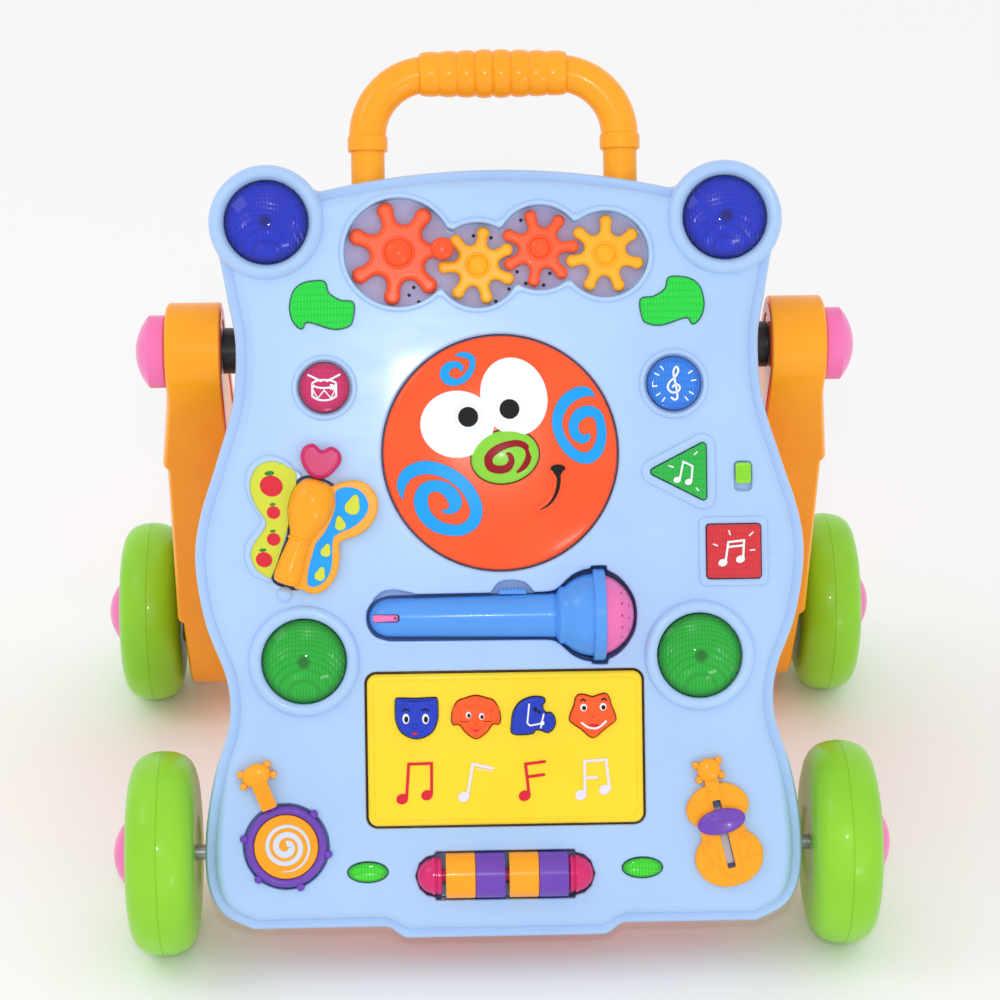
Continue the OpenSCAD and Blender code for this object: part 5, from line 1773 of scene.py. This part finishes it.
@dataclass
class Banjo:
    """The banjo: a turning drum ring with a spiral head, and a fixed neck."""

    neck_angle: float = 111.6

    def build(self) -> None:
        """Makes the ring, head and neck."""
        rim = [
            (16.8, -4.2), (20.8, -4.2), (21.2, -3.8), (21.2, 0.6), (20.9, 1.9), (20.1, 2.8), (19, 3.1),
            (17.9, 2.8),
            (17.1, 2), (16.8, 1),
        ]  # fmt: skip
        ring = turned(rim, closed=True, steps=96)
        lug = [(0, 0.3), (2.2, 0.3), (2.3, 0.6), (2.2, 1.8), (1.6, 2.7), (0.8, 3), (0, 3.1)]
        lugs = [
            moved(turned(lug, steps=28), *placed([(22.1, 0)], (0, 0), 49 + 60 * k)[0]) for k in range(6)
        ]
        arms = [
            moved(
                pillow(box_outline((2.2, 1.3), 0.6, (20.6, 0)), 0.3, 2.4, 0.6), 0, 0, 0, 49 + 60 * k
            ) for k in range(6)
        ]
        show(
            "banjo_rim", moved(merged(ring, *lugs, *arms), *BANJO), PURPLE, "banjo_dial", "purple",
            "banjo_ring"
        )
        head = moved(disc(16.65, -1.8, 2.0, 0.6), *BANJO)
        show("banjo_skin", head, AMBER, "banjo_dial", "yellow_orange", "banjo_head")
        spine = []
        for i in range(45):
            share = i / 44
            angle = math.radians(80 - 900 * share)
            radius = 1.4 + 11.6 * share**0.9
            spine.append(
                (radius * math.cos(angle), radius * math.sin(angle), 3.3 * (1 - share) ** 0.6 + 0.5)
            )
        spiral = lofted(ribbon(spine, 2), [(0, 1.6), (0, 2.25), (-0.15, 2.4)])
        show("banjo_spiral", moved(spiral, *BANJO), PALE_INK, "banjo_dial", "panel_blue", "banjo_head")
        neck = pillow(box_outline((9.4, 4.1), 0.8, (31, 0)), 3.7, 6.0, 0.4)
        strings = [
            lofted(
                box_outline((8.8, 0.45), 0.4, (31, y)), [(0, 5.6), (0, 6.3), (-0.25, 6.5)]
            ) for y in (-2.7, -0.9, 0.9, 2.7)
        ]
        paddle = turned(
            [(0, 0.2), (6.6, 0.2), (6.8, 0.8), (6.8, 4.2), (6.2, 5.4), (4.8, 6.2), (0, 6.6)], steps=48
        )
        paddle.transform(Matrix.Translation((40.4, 0, 0)) @ Matrix.Diagonal((0.86, 1.12, 1, 1)))
        peg = [(0, 0.2), (1.9, 0.2), (2, 0.8), (2, 3.6), (1.5, 4.6), (0, 5)]
        pegs = [
            moved(turned(peg, steps=24), x, y) for x,
            y in ((37.4, 8.2), (43.6, 7.4), (37.4, -8.2), (43.6, -7.4))
        ]
        whole = moved(merged(neck, *strings, paddle, *pegs), *BANJO, 0, self.neck_angle)
        show("banjo_neck_moulding", whole, AMBER, "console", "yellow_orange", "banjo_neck")


@dataclass
class Violin:
    """The violin with its scrolls and the sliding bridge."""

    slider_up: float = 7.0

    def on_violin(self, shape: bmesh.types.BMesh) -> bmesh.types.BMesh:
        """Places a shape drawn upright in the violin's own plan."""
        return moved(shape, *VIOLIN, 0, VIOLIN_TURN)

    def build(self) -> None:
        """Makes the body, slider and the strip seen through the slot."""
        outline = facing(VIOLIN_BODY)
        slot_tool = lofted(
            box_outline((2.1, 18), 0.8), [(0, -3), (0, 3.2), (0.2, 3.6), (0.6, 3.8), (0.6, 12)]
        )
        body = carved(pillow(outline, 0.1, 3.6, 1.8, 0.2, 6), [slot_tool])
        board = [
            bead(
                [
                    (3.8, 25, 3.5), (3.6, 14, 3.5), (2.6, 11.4, 3.5), (0, 10.6, 3.5), (-2.6, 11.4, 3.5),
                    (-3.6, 14, 3.5), (-3.8, 25, 3.5)
                ],
                0.6
            ),
            bead(
                [
                    (5.4, -6, 3.5), (5.6, -18, 3.5), (4, -21.6, 3.5), (0, -23, 3.5), (-4, -21.6, 3.5),
                    (-5.6, -18, 3.5), (-5.4, -6, 3.5)
                ],
                0.6
            ),
        ]
        scroll = smooth_path([
            (9.4, -2.2), (10.8, -3.8), (9.2, -5), (7.8, -3.6), (8.6, -1.8), (11, -1.4), (12.8, -3.6),
            (11.8, -8),
            (9.4, -11.4), (9.2, -14.8), (11.4, -16.6), (13.6, -15.4), (13.2, -13.2), (11.6, -13.4),
        ], 4)  # fmt: skip
        board += [bead([(s * x, y, 3.5) for x, y in scroll], 0.55) for s in (-1, 1)]
        head = turned(
            [(0, 0.2), (5.9, 0.2), (6.1, 0.8), (6.1, 3.4), (5.4, 4.6), (3.8, 5.4), (0, 5.8)], steps=48
        )
        ears = [(0, 0.2), (1.9, 0.2), (2, 0.8), (2, 3), (1.5, 3.8), (0, 4.1)]
        pegs = [moved(turned(ears, steps=24), s * 6, y) for s in (-1, 1) for y in (38.2, 30.4)]
        neck = pillow(box_outline((3.6, 5), 1, (0, 28)), 0.2, 3.9, 0.8)
        cap = merged(body, *board, moved(head, 0, 34.4), neck, *pegs)
        show("violin_moulding", self.on_violin(cap), AMBER, "console", "yellow_orange", "violin_body")
        strip = lofted(box_outline((1.9, 15), 0.6, (0, -1)), [(0, -2), (0, -1.2)])
        show("violin_strip", self.on_violin(strip), PALE_INK, "console", "panel_blue", "violin_body")
        saddle = turned(
            [(0, 4.2), (0.94, 4.2), (1, 4.8), (0.98, 6.4), (0.9, 7.2), (0.76, 7.4), (0.4, 6.7), (0, 6.4)],
            steps=64
        )
        saddle.transform(Matrix.Diagonal((12.8, 6.6, 1, 1)))
        post = turned([(0, -0.9), (1.8, -0.9), (1.8, 4.6), (0, 4.6)], steps=24)
        slider = moved(merged(saddle, post), 0, self.slider_up)
        show("violin_slider_knob", self.on_violin(slider), PURPLE, "violin_knob", "purple", "violin_slider")


@dataclass
class Rollers:
    """Four spinning barrels on a shaft with domed ends."""

    starts: tuple = (-31.0, -15.5, 1.9, 17.4)
    length: float = 15.3
    radius: float = 11.8

    def build(self) -> None:
        """Makes the barrels and the shaft."""
        for i, word in enumerate(("one", "two", "three", "four")):
            start, end, r = self.starts[i], self.starts[i] + self.length, self.radius
            profile = [
                (3.9, start), (r - 0.35, start), (r, start + 0.35), (r, end - 0.35), (r - 0.35, end),
                (3.9, end)
            ]
            barrel = moved(along_x(profile, closed=True, steps=72), 0, ROLLER_V, ROLLER_Z)
            finish, slot = (AMBER, "yellow_orange") if i % 2 == 0 else (PURPLE, "purple")
            show(
                f"roller_{word}_barrel_moulding", barrel, finish, f"roller_{word}_barrel", slot,
                f"roller_{word}"
            )
        half = [
            (3.6, 0), (3.6, 33.2), (9.2, 33.2), (9.7, 33.8), (9.7, 35), (9.1, 35.6), (9.1, 36), (9.8, 36.6),
            (9.8, 37.8), (9.2, 38.4)
        ]
        half += cap_profile(9.1, 7.2, 38.7, 12)
        right = [p for p in half if p[1] > 0]
        profile = [(r, -x) for r, x in reversed(right)] + right
        shaft = moved(along_x(profile), 0, ROLLER_V, ROLLER_Z)
        show("roller_shaft", shaft, MAGENTA, "console", "magenta", "roller_axle")


@dataclass
class Microphone:
    """The microphone that lies in its recess: body, pink grille and clip, and a ribbed switch."""

    head: float = 21.6
    collar: float = 24.0

    def place(self, shape: bmesh.types.BMesh) -> bmesh.types.BMesh:
        """Places a shape drawn along the microphone's axis."""
        return moved(shape, 0, MIC_V, MIC_Z)

    def build(self) -> None:
        """Makes the microphone."""
        tail = [
            (10.0 * math.sin(a), -58 - 11 * math.cos(a)) for a in [math.radians(9 * k) for k in range(11)]
        ]
        back = [
            (self.head * math.sqrt(1 - ((x - 49) / 22.5) ** 2), x) for x in (33, 35, 37.5, 40.5, 44, 47.6)
        ]
        grip = [
            (10.3, -40), (10.9, 0), (11.4, 24), (11.7, 27.4), (11.4, 27.7), (11.4, 28.2), (12.2, 28.6),
            (15, 30.4)
        ]
        front = [
            (23.5, 47.8), (self.collar, 48.3), (self.collar, 53.2), (23.5, 53.8), (21.2, 53.9), (0, 53.9)
        ]
        body = along_x(tail + grip + back + front, steps=96)
        slot_tool = lofted(box_outline((7.4, 2.1), 1.5, (-60.4, 0)), [(0, 4.6), (0, 16)])
        show(
            "mic_body", self.place(carved(body, [slot_tool])), MIC_BLUE, "microphone", "mic_blue",
            "mic_barrel"
        )
        dome = [(0, 53.6), (20.7, 53.6), (20.7, 54.4)] + [
            (r, x) for r, x in cap_profile(20.6, 14.9, 54.4, 16)
        ]
        clip = pillow(box_outline((6.6, 1.9), 1.2, (-60.4, 0)), 4.8, 9.3, 0.8)
        # A darker disc on the clip stands for the painted shade inside its hole.
        hole = moved(disc(0.9, 9.1, 9.45, 0.1, 20), -55.4, 0)
        show(
            "mic_grille", self.place(merged(along_x(dome, steps=96), clip)), PINK, "microphone", "pink",
            "mic_trim"
        )
        ball = (20.6**2 + 14.9**2) / (2 * 14.9)
        middle = 54.4 + 14.9 - ball
        # Darker spheres set into the grille dome stand for the painted shade inside its holes.
        holes = [hole]
        for ring, count in ((0, 1), (16, 6), (32, 11), (48, 16)):
            for k in range(count):
                polar, around = math.radians(ring), math.tau * (k + 0.5 * (ring % 2)) / count
                away = Vector(
                    (
                        math.cos(polar), math.sin(polar) * math.cos(around),
                        math.sin(polar) * math.sin(around)
                    )
                )
                dot = bmesh.new()
                bmesh.ops.create_uvsphere(dot, u_segments=12, v_segments=8, radius=1.15)
                holes.append(moved(dot, *(away * (ball - 0.85) + Vector((middle, 0, 0)))))
        show("mic_holes", self.place(merged(*holes)), GRILLE_HOLE_SHADE, "microphone", "pink", "mic_trim")
        base = lofted(box_outline((7.4, 2.4), 0.8, (6, 0)), [(0, 11.4), (0, 13.4), (-0.4, 13.8)])
        ribs = [
            lofted(
                box_outline((0.45, 2.3), 0.3, (0.2 + 1.9 * k, 0)), [(0, 13.2), (0, 14.4), (-0.2, 14.7)]
            ) for k in range(7)
        ]
        switch = tipped(merged(base, *ribs), -90, "X")
        show("mic_slide_switch", self.place(switch), MIC_BLUE, "mic_slider", "mic_blue", "mic_switch")


# ---------------------------------------------------------------- the studio


@dataclass
class Studio:
    """A pale floor, soft light from large panels near the camera, and the camera."""

    distance: float = 1.475
    lens: float = 102.0

    def light(self, name: str, place: Vector, aim: Vector, size: float, power: float) -> None:
        """Adds a square area light that faces a point."""
        lamp = bpy.data.lights.new(name, "AREA")
        lamp.size, lamp.energy = size, power
        holder = bpy.data.objects.new(name, lamp)
        bpy.context.scene.collection.objects.link(holder)
        holder.location = place
        holder.rotation_euler = (aim - place).to_track_quat("-Z", "Y").to_euler()

    def build(self) -> None:
        """Makes the floor, lights and camera."""
        scene = bpy.context.scene
        middle = PANEL @ Vector((0, 0, 0))
        out = (PANEL.to_3x3() @ Vector((0, 0, 1))).normalized()
        up = (PANEL.to_3x3() @ Vector((0, 1, 0))).normalized()
        floor = bmesh.new()
        bmesh.ops.create_grid(floor, x_segments=1, y_segments=1, size=6)
        mesh = bpy.data.meshes.new("floor")
        floor.to_mesh(mesh)
        floor.free()
        ground = bpy.data.objects.new("floor", mesh)
        scene.collection.objects.link(ground)
        mesh.materials.append(Print("floor_paper", "FAFAFA", "F7F7F7", roughness=0.9).material())
        world = bpy.data.worlds.new("studio")
        world.use_nodes = True
        shade_in = world.node_tree.nodes["Background"].inputs
        shade_in["Color"].default_value, shade_in["Strength"].default_value = (1, 1, 1, 1), 0.95
        scene.world = world
        place = middle + out * self.distance + Vector((-0.04, 0, 0))
        self.light("key", middle + out * 1.1 - up * 0.9 + Vector((0.7, 0, 0)), middle, 0.35, 4.5)
        self.light("fill", middle + out * 0.7 + up * 0.9 + Vector((-1.1, 0, 0)), middle, 0.5, 2)
        self.light("flash", place + up * 0.12, middle, 0.05, 2.2)
        camera = bpy.data.cameras.new("camera")
        camera.lens, camera.sensor_width = self.lens, 36
        holder = bpy.data.objects.new("camera", camera)
        scene.collection.objects.link(holder)
        holder.location = place
        holder.rotation_euler = (middle - place).to_track_quat("-Z", "Y").to_euler()
        scene.camera = holder
        scene.view_settings.view_transform = "Standard"


def main() -> None:
    """Builds the walker, sub-assembly by sub-assembly, and the studio."""
    logging.basicConfig(level=logging.INFO, format="%(message)s")
    assemblies = [
        Console(), Handle(), Lenses(), GearTrain(), Face(), Keyboard(), Buttons(), Butterfly(), Banjo(),
        Violin(),
        Rollers(), Microphone(), LegFrame(),
    ]  # fmt: skip
    for side in Side:
        for end in ("front", "rear"):
            assemblies.append(Wheel(f"{end}_{side.name.lower()}_wheel", side))
    assemblies.append(Studio())
    for assembly in assemblies:
        log.info("building %s", type(assembly).__name__)
        assembly.build()


if __name__ == "__main__":
    main()
